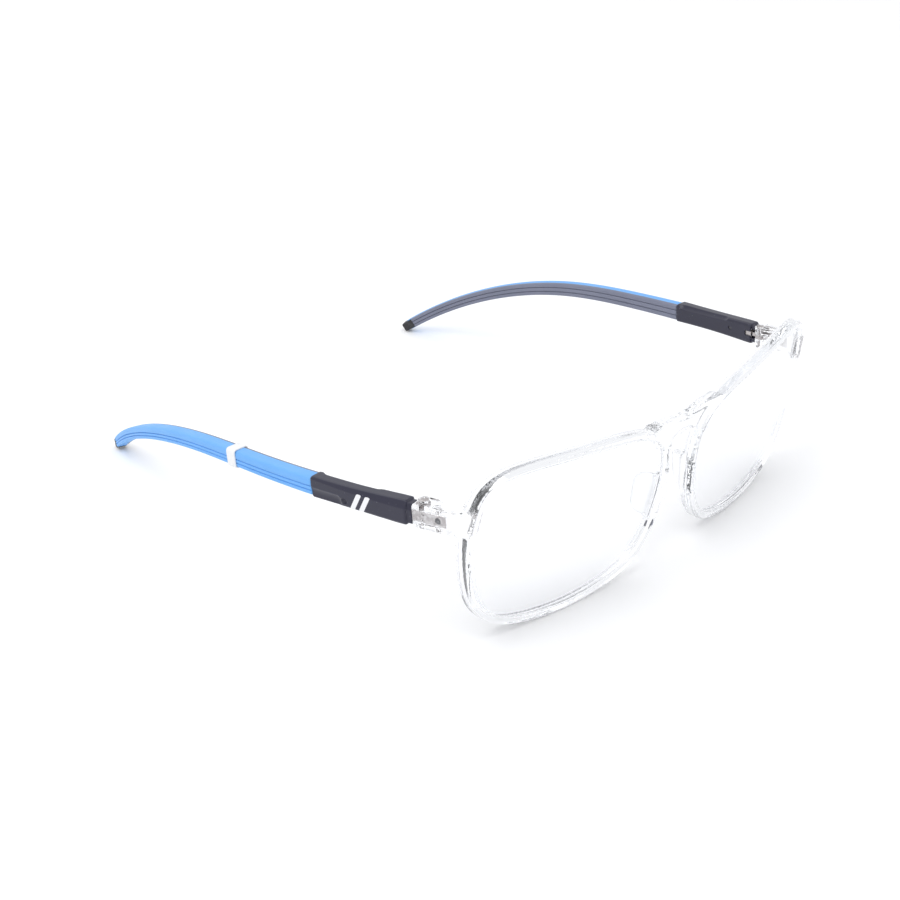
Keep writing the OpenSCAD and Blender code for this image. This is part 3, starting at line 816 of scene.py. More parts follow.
class TempleTrees:
    """Geometry node trees that the spectacles' repeated and path-following pieces come from."""

    def __init__(self) -> None:
        self.direction = self._direction()
        self.bend = self._bend()
        self.turned = self._turned()
        self.coil = self._coil()
        self.plate = self._plate()

    def _direction(self) -> bpy.types.NodeTree:
        """The temple's directions at a station, from its splay, curl, pitch and bend."""
        names = ("Station",) + BEND_ANGLES
        w, given, out = new_tree(
            "temple_direction", "GeometryNodeTree", {n: (FLOAT, 1.0) for n in names},
            {"Along": VECTOR, "Outward": VECTOR, "Up": VECTOR},
        )
        hundredths = w.math("DIVIDE", given["Station"], 100.0)
        curl = w.math("ADD", w.math("MULTIPLY", hundredths, given["Curl Linear"]),
                      w.math("MULTIPLY", w.math("MULTIPLY", hundredths, hundredths), given["Curl Square"]))
        heading = w.math("RADIANS", w.math("SUBTRACT", curl, given["Splay"]))
        past = w.math("SUBTRACT", given["Station"], given["Bend Start"])
        eased = w.math("MINIMUM", w.math("MAXIMUM", past, 0.0), given["Bend Ease"])
        early = w.math("DIVIDE", w.math("MULTIPLY", eased, eased), w.math("MULTIPLY", given["Bend Ease"], 2.0))
        late = w.math("MAXIMUM", w.math("SUBTRACT", past, given["Bend Ease"]), 0.0)
        bent = w.math("ADD", early, late)
        droop = w.math("RADIANS", w.math("MULTIPLY_ADD", bent, given["Bend Rate"], given["Pitch"]))
        sin_h, cos_h = w.math("SINE", heading), w.math("COSINE", heading)
        sin_d, cos_d = w.math("SINE", droop), w.math("COSINE", droop)
        w.feed(out["Along"], w.combine(w.math("MULTIPLY", cos_d, sin_h), w.math("MULTIPLY", cos_d, cos_h),
                                       w.math("MULTIPLY", sin_d, -1.0)))
        w.feed(out["Up"], w.combine(w.math("MULTIPLY", sin_d, sin_h), w.math("MULTIPLY", sin_d, cos_h), cos_d))
        w.feed(out["Outward"], w.combine(w.math("MULTIPLY", cos_h, -1.0), sin_h, 0.0))
        return w.tree

    def _bend(self) -> bpy.types.NodeTree:
        """Bends a piece drawn straight, as (outward, along, up), onto the temple's curve."""
        w, given, out = new_tree(
            "bend_along_temple", "GeometryNodeTree",
            {"Geometry": (GEOMETRY, None), "Left": (SWITCH, False), "Half Width": (FLOAT, 60.0),
             "Length": (WHOLE, 100), **{n: (FLOAT, 1.0) for n in BEND_ANGLES}, "Back Shift": (FLOAT, 0.0),
             "Stand Height": (FLOAT, 0.0), "Material": (MATERIAL, None)},
            {"Geometry": GEOMETRY},
        )

        def direction(station: Socket) -> bpy.types.Node:
            """The direction group at a station."""
            return w.named("GeometryNodeGroup", {"Station": station, **{n: given[n] for n in BEND_ANGLES}},
                           node_tree=self.direction)

        # The curve itself: a line of points one unit apart, each moved by the sum of the steps before it.
        count = w.math("ADD", given["Length"], 4.0)
        first = w.combine(w.math("MULTIPLY", given["Half Width"], -1.0), 0.0, 0.0)
        line = w.named("GeometryNodeMeshLine", {"Count": count, "Start Location": first, "Offset": (0.0, 0.0, 0.0)},
                       mode="OFFSET", count_mode="TOTAL")
        index = w.add("GeometryNodeInputIndex").outputs[0]
        steps = w.named("GeometryNodeAccumulateField", {"Value": direction(w.math("ADD", index, 0.5)).outputs["Along"]},
                        data_type="FLOAT_VECTOR", domain="POINT")
        curve = w.named("GeometryNodeSetPosition", {"Geometry": line.outputs[0], "Offset": steps.outputs["Trailing"]})

        place = w.add("GeometryNodeInputPosition").outputs[0]
        parts = w.add("ShaderNodeSeparateXYZ", place).outputs
        below = w.math("FLOOR", parts[1])

        def sampled(at: Socket) -> bpy.types.NodeSocket:
            """The curve's place at a whole station."""
            return w.named("GeometryNodeSampleIndex", {"Geometry": curve.outputs[0], "Value": place, "Index": at},
                           data_type="FLOAT_VECTOR", domain="POINT").outputs[0]

        start, end = sampled(below), sampled(w.math("ADD", below, 1.0))
        spine = w.vector("ADD", start, w.scaled(w.vector("SUBTRACT", end, start), w.math("FRACT", parts[1])))
        here = direction(parts[1])
        across = w.vector("ADD", w.scaled(here.outputs["Outward"], parts[0]), w.scaled(here.outputs["Up"], parts[2]))
        shift = w.combine(0.0, w.math("MULTIPLY", given["Back Shift"], -1.0), given["Stand Height"])
        world = w.vector("ADD", w.vector("ADD", spine, across), shift)
        turn = w.math("SUBTRACT", MM, w.math("MULTIPLY", given["Left"], 2 * MM))
        final = w.vector("MULTIPLY", world, w.combine(turn, MM, MM))
        moved = w.named("GeometryNodeSetPosition", {"Geometry": given["Geometry"], "Position": final}).outputs[0]
        flipped = w.named("GeometryNodeFlipFaces", {"Mesh": moved}).outputs[0]
        return finish_tree(w, w.choose(given["Left"], flipped, moved), given, out)

    def _turned(self) -> bpy.types.NodeTree:
        """Turns a line of points with radii into a lathed piece, with an optional driver slot in its top."""
        w, given, out = new_tree(
            "turned_piece", "GeometryNodeTree",
            {"Geometry": (GEOMETRY, None), "Segments": (WHOLE, 48), "Slot Width": (FLOAT, 0.0),
             "Slot Floor": (FLOAT, 0.0), "Material": (MATERIAL, None)},
            {"Geometry": GEOMETRY},
        )
        line = w.named("GeometryNodeMeshToCurve", {"Mesh": given["Geometry"]}).outputs[0]
        radius = w.named("GeometryNodeInputNamedAttribute", {"Name": "turn_radius"}, data_type="FLOAT")
        radius = radius.outputs["Attribute"]
        sized = w.named("GeometryNodeSetCurveRadius", {"Curve": line, "Radius": radius}).outputs[0]
        ring = w.named("GeometryNodeCurvePrimitiveCircle", {"Resolution": given["Segments"], "Radius": 1.0}).outputs[0]
        body = w.named("GeometryNodeCurveToMesh", {"Curve": sized, "Profile Curve": ring, "Fill Caps": True})
        if "Scale" in body.inputs:
            w.feed(body.inputs["Scale"], radius)
        slot = w.named("GeometryNodeMeshCube", {"Size": w.combine(8.0, given["Slot Width"], 2.0)}).outputs[0]
        lift = w.combine(0.0, 0.0, w.math("ADD", given["Slot Floor"], 1.0))
        lifted = w.named("GeometryNodeTransform", {"Geometry": slot, "Translation": lift}).outputs[0]
        slotted = w.add("FunctionNodeCompare", given["Slot Width"], 0.001, data_type="FLOAT", operation="GREATER_THAN")
        made = w.choose(slotted.outputs[0], body.outputs[0], w.cut(body.outputs[0], lifted))
        return finish_tree(w, made, given, out)

    def _coil(self) -> bpy.types.NodeTree:
        """Winds a spring from a round wire."""
        w, given, out = new_tree(
            "coil_spring", "GeometryNodeTree",
            {"Geometry": (GEOMETRY, None), "Turns": (FLOAT, 6.0), "Coil Radius": (FLOAT, 0.5),
             "Wire Radius": (FLOAT, 0.1), "Height": (FLOAT, 4.0), "Material": (MATERIAL, None)},
            {"Geometry": GEOMETRY},
        )
        spiral = w.named("GeometryNodeCurveSpiral", {
            "Resolution": 28, "Rotations": given["Turns"], "Start Radius": given["Coil Radius"],
            "End Radius": given["Coil Radius"], "Height": given["Height"]}).outputs[0]
        wire = w.named("GeometryNodeCurvePrimitiveCircle", {"Resolution": 10, "Radius": given["Wire Radius"]})
        body = w.named("GeometryNodeCurveToMesh", {
            "Curve": spiral, "Profile Curve": wire.outputs[0], "Fill Caps": True})
        return finish_tree(w, body.outputs[0], given, out)

    def _plate(self) -> bpy.types.NodeTree:
        """Punches a row of holes, a row of barrel grooves and a rivet hole in a plate."""
        w, given, out = new_tree(
            "perforated_plate", "GeometryNodeTree",
            {"Geometry": (GEOMETRY, None), "Thickness": (FLOAT, 0.8), "Hole Radius": (FLOAT, 0.3),
             "Hole Place": (FLOAT, 1.0), "Hole Spacing": (FLOAT, 1.4), "Groove Radius": (FLOAT, 0.35),
             "Groove Place": (FLOAT, 2.0), "Groove Spacing": (FLOAT, 1.1), "Rivet Radius": (FLOAT, 0.77),
             "Rivet Place": (FLOAT, -2.8), "Material": (MATERIAL, None)},
            {"Geometry": GEOMETRY},
        )
        across = (0.0, math.pi / 2, 0.0)

        def punch(radius: Socket, length: float, count: int, start: Socket, offset: Socket,
                  turn: tuple) -> bpy.types.NodeSocket:
            """A row of cylinders to cut with."""
            pin = w.named("GeometryNodeMeshCylinder", {"Vertices": 28, "Radius": radius, "Depth": length}).outputs[0]
            row = w.named("GeometryNodeMeshLine", {"Count": count, "Start Location": start, "Offset": offset},
                          mode="OFFSET", count_mode="TOTAL").outputs[0]
            copies = w.named("GeometryNodeInstanceOnPoints", {"Points": row, "Instance": pin, "Rotation": turn})
            return w.add("GeometryNodeRealizeInstances", copies.outputs[0]).outputs[0]

        half = w.math("MULTIPLY", given["Hole Spacing"], -0.5)
        holes = punch(given["Hole Radius"], 4.0, 2, w.combine(0.0, given["Hole Place"], half),
                      w.combine(0.0, 0.0, given["Hole Spacing"]), across)
        face = w.math("SUBTRACT", w.math("MULTIPLY", given["Thickness"], -0.5), 0.15)
        grooves = punch(given["Groove Radius"], 6.0, 2, w.combine(face, given["Groove Place"], 0.0),
                        w.combine(0.0, given["Groove Spacing"], 0.0), (0.0, 0.0, 0.0))
        rivet = punch(given["Rivet Radius"], 4.0, 1, w.combine(0.0, given["Rivet Place"], 0.0), (0.0, 0.0, 0.0),
                      across)
        made = given["Geometry"]
        for cutter in (holes, grooves, rivet):
            made = w.cut(made, cutter)
        return finish_tree(w, made, given, out)


# ---------------------------------------------------------------- the clear front


@dataclass
class ClearFront:
    """The one-piece clear moulding that holds the lenses, with its hinge knuckles and nose pads, and the lenses."""

    spine: SpineRule
    wrap_radius: float = 227.0
    tilt: float = 6.0
    lens_x: float = 35.6
    lens_drop: float = 10.7
    reach: float = 16.5
    rim_width: float = 2.3
    rim_depth: float = 3.6
    lens_thickness: float = 1.8
    lens_grip: float = 0.6
    bridge_top: float = 7.5
    bridge_low: float = 3.0
    bridge_half: float = 13.0
    arch_radius: float = 9.5
    pad_place: tuple = (-7.6, -13.3, -12.5)
    pad_size: tuple = (1.5, 7.0, 10.5)
    opening: tuple = (
        (27, -2), (27.7, 10.5), (22.5, 19.5), (2, 19.5), (-19.5, 16.5), (-27.5, 10.5),
        (-28, -2), (-23.5, -12.5), (-16, -17.5), (0, -19.5), (16, -17.5), (23.5, -12),
    )
    knuckle_radius: float = 1.5
    stack_height: float = 5.8
    axis: tuple = (1.3, 2.4)
    block_back: float = 3.95
    slot_half: float = 0.62
    slot_radius: float = 2.3

    def outline(self, per_span: int = 10) -> np.ndarray:
        """The lens opening about its centre, as (temple side, up)."""
        p = np.array(self.opening, float)
        before, after, far = np.roll(p, 1, axis=0), np.roll(p, -1, axis=0), np.roll(p, -2, axis=0)
        t = (np.arange(per_span) / per_span)[None, :, None]
        a, b, c, d = (q[:, None, :] for q in (before, p, after, far))
        curve = 0.5 * (2 * b + (c - a) * t + (2 * a - 5 * b + 4 * c - d) * t ** 2 + (3 * b - a - 3 * c + d) * t ** 3)
        return curve.reshape(-1, 2)

    def wrap_depth(self, x: np.ndarray, y: np.ndarray, z: np.ndarray) -> np.ndarray:
        """How far a place lies in front of the lens surface."""
        a = math.radians(self.tilt)
        y0, z0 = y + self.reach, z + self.lens_drop
        back = y0 * math.cos(a) + z0 * math.sin(a)
        return np.sqrt(x * x + (self.wrap_radius - back) ** 2) - self.wrap_radius

    def casting(self, step: float) -> Casting:
        """The moulding's right half and its reflection, as distances."""
        block = Casting((-278 * 0.25, -21.0, -33.5), (0.0, 5.25, 12.25), (step, step, step))
        x, y, z = block.grid()
        depth = self.wrap_depth(x, y, z)
        flat_x = self.wrap_radius * np.arcsin(np.clip(-x[:, 0, :] / self.wrap_radius, -1, 1)) - self.lens_x
        flat_z = (z[:, 0, :] + self.lens_drop) / math.cos(math.radians(self.tilt))
        opening = outline_distance(self.outline(), flat_x, flat_z)
        plane = opening[:, None, :]
        rim = box_distance((self.rim_width / 2, self.rim_depth / 2), 0.75, plane - self.rim_width / 2, depth)
        block.join(rim, 0.0)

        px, pz = x[:, 0, :], z[:, 0, :]
        arch = self.arch_radius - np.sqrt(px ** 2 + (pz - self.bridge_low + self.arch_radius) ** 2)
        saddle = 20 - np.sqrt(px ** 2 + (pz - self.bridge_top - 19.4) ** 2)
        bridge = smooth_max(smooth_max(arch, saddle, 0.8), np.abs(px) - self.bridge_half, 0.5)
        bridge = smooth_max(bridge, np.maximum(pz - self.bridge_top - 0.4, self.bridge_low - 3 - pz), 0.6)
        solid = box_distance((0.75, self.rim_depth / 2 + 0.0), 0.75, np.maximum(bridge[:, None, :] + 0.75, 0), depth)
        solid = np.maximum(solid, bridge[:, None, :])
        block.join(solid, 1.2)

        cut, (bx, by, bz) = block.within((-70, -14.0, -7), (-58, 5.3, 8))
        local = self.hinge_places(bx, by, bz)
        block.join(self.endpiece(local, depth[cut]), 1.2, cut)
        block.carve(opening[cut[0], cut[2]][:, None, :], 0.3, cut)
        block.carve(opening[:, None, :], 0.1)
        block.carve(box_distance((self.lens_grip + 0.06 + 5, self.lens_thickness / 2 + 0.05), 0.0,
                                 plane + 5, depth), 0.0)
        for shape in self.hinge_room(local):
            block.carve(shape, 0.06, cut)

        cut, (nx, ny, nz) = block.within((-16, -19, -21), (0.1, -6, -4))
        block.join(self.pad(nx, ny, nz), 1.4, cut)
        return block.mirrored()

    def hinge_places(self, x: np.ndarray, y: np.ndarray, z: np.ndarray) -> list[np.ndarray]:
        """Drawing-frame places in the hinge frame."""
        turn = self.spine.hinge_turn()
        w = (x + self.spine.half_width, y, z)
        return [sum(w[i] * turn[i, k] for i in range(3)) for k in range(3)]

    def endpiece(self, local: list[np.ndarray], depth: np.ndarray) -> np.ndarray:
        """The block and the knuckles that carry one hinge."""
        x, y, z = local
        ax, ay = self.axis
        half = self.stack_height / 2
        block = box_distance((2.0, 9.0, half), 0.9, x + 0.1, y - self.block_back + 9.0, z)
        block = smooth_max(block, -np.maximum(ax - x, ay - y), 0.1)
        arm = outline_distance(np.array([(ax - 1.5, ay), (ax - 1.5, ay - 6), (ax, ay - 6), (ax + 1.5, ay - 2.8),
                                         (ax + 1.5, ay)]), x, y)
        arm = smooth_max(arm, np.abs(z) - half, 0.35)
        knuckle = rod_distance(self.knuckle_radius, half, 0.2, x - ax, y - ay, z)
        return smooth_max(smooth_min(block, smooth_min(arm, knuckle, 0.1), 0.25), depth - self.rim_depth / 2, 0.8)

    def hinge_room(self, local: list[np.ndarray]) -> list[np.ndarray]:
        """What is cut out of the end piece: screw bore and seat, tongue slot, neck room and plate pocket."""
        x, y, z = local
        ax, ay = self.axis
        return [
            rod_distance(0.66, 6.0, 0.0, x - ax, y - ay, z),
            rod_distance(1.07, 1.0, 0.0, x - ax, y - ay, z - self.stack_height / 2 - 0.45),
            rod_distance(self.slot_radius, self.slot_half, 0.0, x - ax, y - ay, z),
            box_distance((2.0, 3.0, self.slot_half), 0.0, x - ax - 2.0, y - ay - 0.7, z),
            box_distance((1.85, 2.0, 4.0), 0.0, x + 2.15, y - self.block_back - 2.0, z),
            box_distance((0.44, 4.9, 1.44), 0.0, x + 0.8, y + 0.45 - 0.45, z),
        ]

    def pad(self, x: np.ndarray, y: np.ndarray, z: np.ndarray) -> np.ndarray:
        """The moulded nose pad of the right-hand side."""
        turn = np.array(Matrix.Rotation(math.radians(10), 3, "Y") @ Matrix.Rotation(math.radians(24), 3, "Z"))
        w = (x - self.pad_place[0], y - self.pad_place[1], z - self.pad_place[2])
        a, b, c = (sum(w[i] * turn[i, k] for i in range(3)) for k in range(3))
        face = box_distance((self.pad_size[1] / 2, self.pad_size[2] / 2), 3.2, b, c)
        return smooth_max(face, np.abs(a) - self.pad_size[0] / 2, 0.9)

    def build(self, palette: Palette) -> list[bpy.types.Object]:
        """Makes the moulding and the lenses and puts them on the front's body."""
        block = self.casting(0.25)
        points, faces = block.skin()
        points = relax(points, faces, 7, 0.5)
        points = (points + [0, -self.spine.back_shift, self.spine.stand_height]) * MM
        made = new_object("clear_front", points, faces)
        dress(settle(made, 62), palette.get(Finish.CLEAR_NYLON))
        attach(made, "front")
        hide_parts("front_frame")
        return [made, *(self.lens(side, palette) for side in Side)]

    def lens(self, side: Side, palette: Palette) -> bpy.types.Object:
        """Makes one lens: two wrapped faces and a bevelled edge that sits in the rim's groove."""
        line = self.outline(8)
        way = np.roll(line, -1, axis=0) - np.roll(line, 1, axis=0)
        out = np.column_stack([way[:, 1], -way[:, 0]]) / np.linalg.norm(way, axis=1)[:, None]
        middle = line.mean(0)
        rings = [middle + (line - middle) * t for t in np.linspace(0.06, 1.0, 16)]
        half = self.lens_thickness / 2
        grip = self.lens_grip
        face_rings = [(r, half) for r in rings] + [(line + out * (grip - 0.16), half), (line + out * grip, half - 0.16)]
        rows = face_rings + [(r, -h) for r, h in reversed(face_rings)]
        a = math.radians(self.tilt)
        points = []
        for flat, depth in rows:
            x = -(self.wrap_radius * np.sin((self.lens_x + flat[:, 0]) / self.wrap_radius))
            z0 = flat[:, 1] * math.cos(a)
            radius = self.wrap_radius + depth
            back = self.wrap_radius - np.sqrt(radius ** 2 - x ** 2)
            y0 = (back - z0 * math.sin(a)) / math.cos(a)
            points.append(np.column_stack([x, y0 - self.reach, z0 - self.lens_drop]))
        n = len(line)
        front, rear = points[0].mean(0), points[-1].mean(0)
        grid = np.vstack(points + [front[None], rear[None]])
        grid = (grid + [0, -self.spine.back_shift, self.spine.stand_height]) * [side.mirror * MM, MM, MM]
        faces = [(i * n + j, i * n + (j + 1) % n, (i + 1) * n + (j + 1) % n, (i + 1) * n + j)
                 for i in range(len(rows) - 1) for j in range(n)]
        top, low = len(grid) - 2, len(grid) - 1
        faces += [((j + 1) % n, j, top) for j in range(n)]
        faces += [((len(rows) - 1) * n + j, (len(rows) - 1) * n + (j + 1) % n, low) for j in range(n)]
        made = new_object(f"{side.value}_clear_lens", grid, faces)
        face_outwards(made)
        dress(settle(made, 30), palette.get(Finish.LENS))
        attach(made, "front")
        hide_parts(f"{side.value}_lens")
        return made


def face_outwards(made: bpy.types.Object) -> None:
    """Points every face of a closed piece outwards."""
    work = bmesh.new()
    work.from_mesh(made.data)
    bmesh.ops.remove_doubles(work, verts=work.verts, dist=1e-7)
    bmesh.ops.recalc_face_normals(work, faces=work.faces)
    if work.calc_volume(signed=True) < 0:
        bmesh.ops.reverse_faces(work, faces=work.faces)
    work.to_mesh(made.data)
    work.free()


# ---------------------------------------------------------------- the hinges


@dataclass
class SidePart:
    """A sub-assembly that is made once for each side."""

    side: Side
    spine: SpineRule
    trees: TempleTrees

    def name(self, what: str) -> str:
        """The name of a piece on this side."""
        return f"{self.side.value}_{what}"


@dataclass
class SprungHinge(SidePart):
    """The steel parts of one hinge: plate, rivet, screw, tongue, spring and pin, drawn in the hinge frame."""

    axis: tuple = (1.3, 2.4)
    plate_x: float = -1.2
    plate_thickness: float = 0.8
    plate_length: float = 8.8
    plate_height: float = 2.8
    plate_back: float = 3.95
    rivet_radius: float = 0.75
    rivet_y: float = -2.8
    stack_height: float = 5.8
    screw_radius: float = 0.6
    head_radius: float = 1.0
    head_height: float = 0.5
    tongue_thickness: float = 1.1
    case_x: float = 0.7
    case_y: float = 5.5
    case_wall: float = 0.8
    spring_length: float = 4.05
    pin_x: float = -1.2
    pin_y: float = 12.9
    pin_radius: float = 0.45
    screw_slot: float = 0.28
    knuckle_radius: float = 1.45
    rod_radius: float = 0.4
    coil_turns: float = 6.0
    coil_radius: float = 0.58
    wire_radius: float = 0.13
    hole_radius: float = 0.3
    hole_place: float = 1.0
    hole_spacing: float = 1.4
    groove_radius: float = 0.35
    groove_place: float = 2.0
    groove_spacing: float = 1.1

    def placed(self, made: bpy.types.Object, turn: Matrix, at: Sequence[float]) -> bpy.types.Object:
        """Moves a piece's mesh from its own frame to its place on the hinge.

        Args:
            made: The piece, in millimetres about its own origin.
            turn: Rotation into the hinge frame.
            at: Its origin in the hinge frame.
        Returns:
            The same piece, in metres in the row frame.
        """
        mesh = made.data
        points = vertex_values(mesh, "co") @ np.array(turn.to_3x3()).T + np.array(at)
        mesh.vertices.foreach_set("co", self.spine.from_hinge(points, self.side).ravel())
        mesh.update()
        face_outwards(made)
        return settle(made, 32)

    def lathe(self, name: str, profile: Sequence[tuple], slot: tuple, finish: bpy.types.Material) -> bpy.types.Object:
        """Turns a piece from (height, radius) pairs, with a driver slot given as (width, floor)."""
        points = [(0, 0, z) for z, _ in profile]
        made = new_object(name, np.array(points, float), [], [(i, i + 1) for i in range(len(points) - 1)])
        radii = made.data.attributes.new("turn_radius", "FLOAT", "POINT")
        radii.data.foreach_set("value", np.array([r for _, r in profile], np.float32))
        return bake_nodes(made, self.trees.turned, {
            "Segments": 40, "Slot Width": slot[0], "Slot Floor": slot[1], "Material": finish})

    def build(self, palette: Palette) -> list[bpy.types.Object]:
        """Makes this hinge's pieces and puts each on its body."""
        steel, dark = palette.get(Finish.STEEL), palette.get(Finish.DARK_STEEL)
        side = self.side.value
        made = [
            (self.screw(steel), f"{side}_screw", "hinge_screw", "steel"),
            (self.plate(steel), "front", "hinge_plate", "steel"),
            (self.rivet(dark), "front", "plate_rivet", "dark_steel"),
            (self.tongue(steel), f"{side}_slider", "hinge_slider", "steel"),
            (spring := self.spring(steel), f"{side}_temple", "flex_spring", "steel"),
            (self.pin(dark), f"{side}_temple", "lock_pin", "dark_steel"),
        ]
        for piece, body, node, slot in made:
            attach(piece, body)
            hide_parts(self.name(node))
        for node, finish in (("spring_case", steel), ("spring_nut", dark)):
            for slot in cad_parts[self.name(node)].material_slots:
                slot.link = "OBJECT"
                slot.material = finish
        self.squash_spring(spring)
        return [row[0] for row in made]

    def screw(self, finish: bpy.types.Material) -> bpy.types.Object:
        """The hinge screw, with a chamfered, slotted head flush with the top knuckle."""
        half, r, head = self.stack_height / 2, self.screw_radius, self.head_radius
        neck = half - self.head_height
        profile = [(-half + 0.1, r - 0.12), (-half + 0.22, r), (neck - 0.01, r), (neck, head - 0.1), (neck + 0.1, head),
                   (half - 0.12, head), (half - 0.03, head - 0.09), (half, head - 0.25)]
        made = self.lathe(self.name("slotted_screw"), profile, (self.screw_slot, neck + 0.2), finish)
        return self.placed(made, Matrix.Rotation(0.6, 4, "Z"), (*self.axis, 0))

    def rivet(self, finish: bpy.types.Material) -> bpy.types.Object:
        """The rivet through the plate, with a slight chamfer at both ends."""
        r, t = self.rivet_radius, self.plate_thickness
        profile = [(0, r - 0.1), (0.07, r), (t - 0.07, r), (t, r - 0.1)]
        made = self.lathe(self.name("round_rivet"), profile, (0.0, 0.0), finish)
        return self.placed(made, Matrix.Rotation(math.pi / 2, 4, "Y"), (self.plate_x, self.rivet_y, 0))

    def pin(self, finish: bpy.types.Material) -> bpy.types.Object:
        """The locking pin, with a domed end on the temple's inner face."""
        r = self.pin_radius
        profile = [(0, r - 0.08), (0.08, r), (3.08, r), (3.2, r - 0.08), (3.27, r - 0.2), (3.3, r - 0.34)]
        made = self.lathe(self.name("domed_pin"), profile, (0.0, 0.0), finish)
        return self.placed(made, Matrix.Rotation(math.pi / 2, 4, "Y"), (self.pin_x, self.pin_y, 0))

    def plate(self, finish: bpy.types.Material) -> bpy.types.Object:
        """The perforated plate moulded into the clear block."""
        section = rounded_box(self.plate_thickness / 2 - 0.01, self.plate_height / 2 - 0.01, 0.12, 4)
        back = self.plate_back
        stations = [back - self.plate_length, back - self.plate_length + 0.06, back - 0.06, back]
        rows = [section * 0.96, section, section, section * 0.96]
        points, faces = loft(rows, stations)
        made = new_object(self.name("perforated_plate"), points, faces)
        face_outwards(made)
        bake_nodes(made, self.trees.plate, {
            "Thickness": self.plate_thickness, "Rivet Radius": self.rivet_radius + 0.02, "Rivet Place": self.rivet_y,
            "Hole Radius": self.hole_radius, "Hole Place": self.hole_place, "Hole Spacing": self.hole_spacing,
            "Groove Radius": self.groove_radius, "Groove Place": self.groove_place,
            "Groove Spacing": self.groove_spacing, "Material": finish})
        return self.placed(made, Matrix.Identity(4), (self.plate_x + self.plate_thickness / 2, 0, 0))

    def tongue(self, finish: bpy.types.Material) -> bpy.types.Object:
        """The steel tongue that turns on the screw, with its bar and rod in one piece."""
        step = 0.07
        block = Casting((-0.6, 0.7, -0.9), (3.1, 12.8, 0.9), (step, step, step))
        x, y, z = block.grid()
        ax, ay = self.axis
        end = self.case_y + self.case_wall + self.spring_length + 1.3
        block.join(rod_distance(self.knuckle_radius, self.tongue_thickness / 2, 0.16, x - ax, y - ay, z), 0.0)
        bar_end = self.case_y - 0.3
        block.join(box_distance((0.65, (bar_end - ay) / 2, self.tongue_thickness / 2), 0.14,
                                x - self.case_x - 0.15, y - (bar_end + ay) / 2, z), 0.15)
        start = ay + 1.4
        block.join(rod_distance(self.rod_radius, (end - start) / 2, 0.06,
                                x - self.case_x, z, y - (start + end) / 2), 0.1)
        block.carve(rod_distance(self.screw_radius + 0.05, 2.0, 0.0, x - ax, y - ay, z), 0.06)
        points, faces = block.skin()
        made = new_object(self.name("steel_tongue"), relax(points, faces, 1), faces)
        dress(made, finish)
        return self.placed(made, Matrix.Identity(4), (0, 0, 0))

    def spring(self, finish: bpy.types.Material) -> bpy.types.Object:
        """The coil spring on the tongue's rod."""
        made = new_object(self.name("coil_spring"), np.zeros((1, 3)), [])
        bake_nodes(made, self.trees.coil, {
            "Turns": self.coil_turns, "Coil Radius": self.coil_radius, "Wire Radius": self.wire_radius,
            "Height": self.spring_length - 0.32, "Material": finish})
        foot = self.case_y + self.case_wall + 0.16
        return self.placed(made, Matrix.Rotation(-math.pi / 2, 4, "X"), (self.case_x, foot, 0))

    def squash_spring(self, spring: bpy.types.Object) -> None:
        """Works out the coil's seat and a place further back, which are not used, and gives the spring its own mesh."""
        seat, beyond = self.spine.from_hinge(
            np.array([(self.case_x, self.case_y + self.case_wall, 0), (self.case_x, self.pin_y, 0)], float), self.side)
        self.name("spring_slide")
        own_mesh(spring)


# ---------------------------------------------------------------- the temples


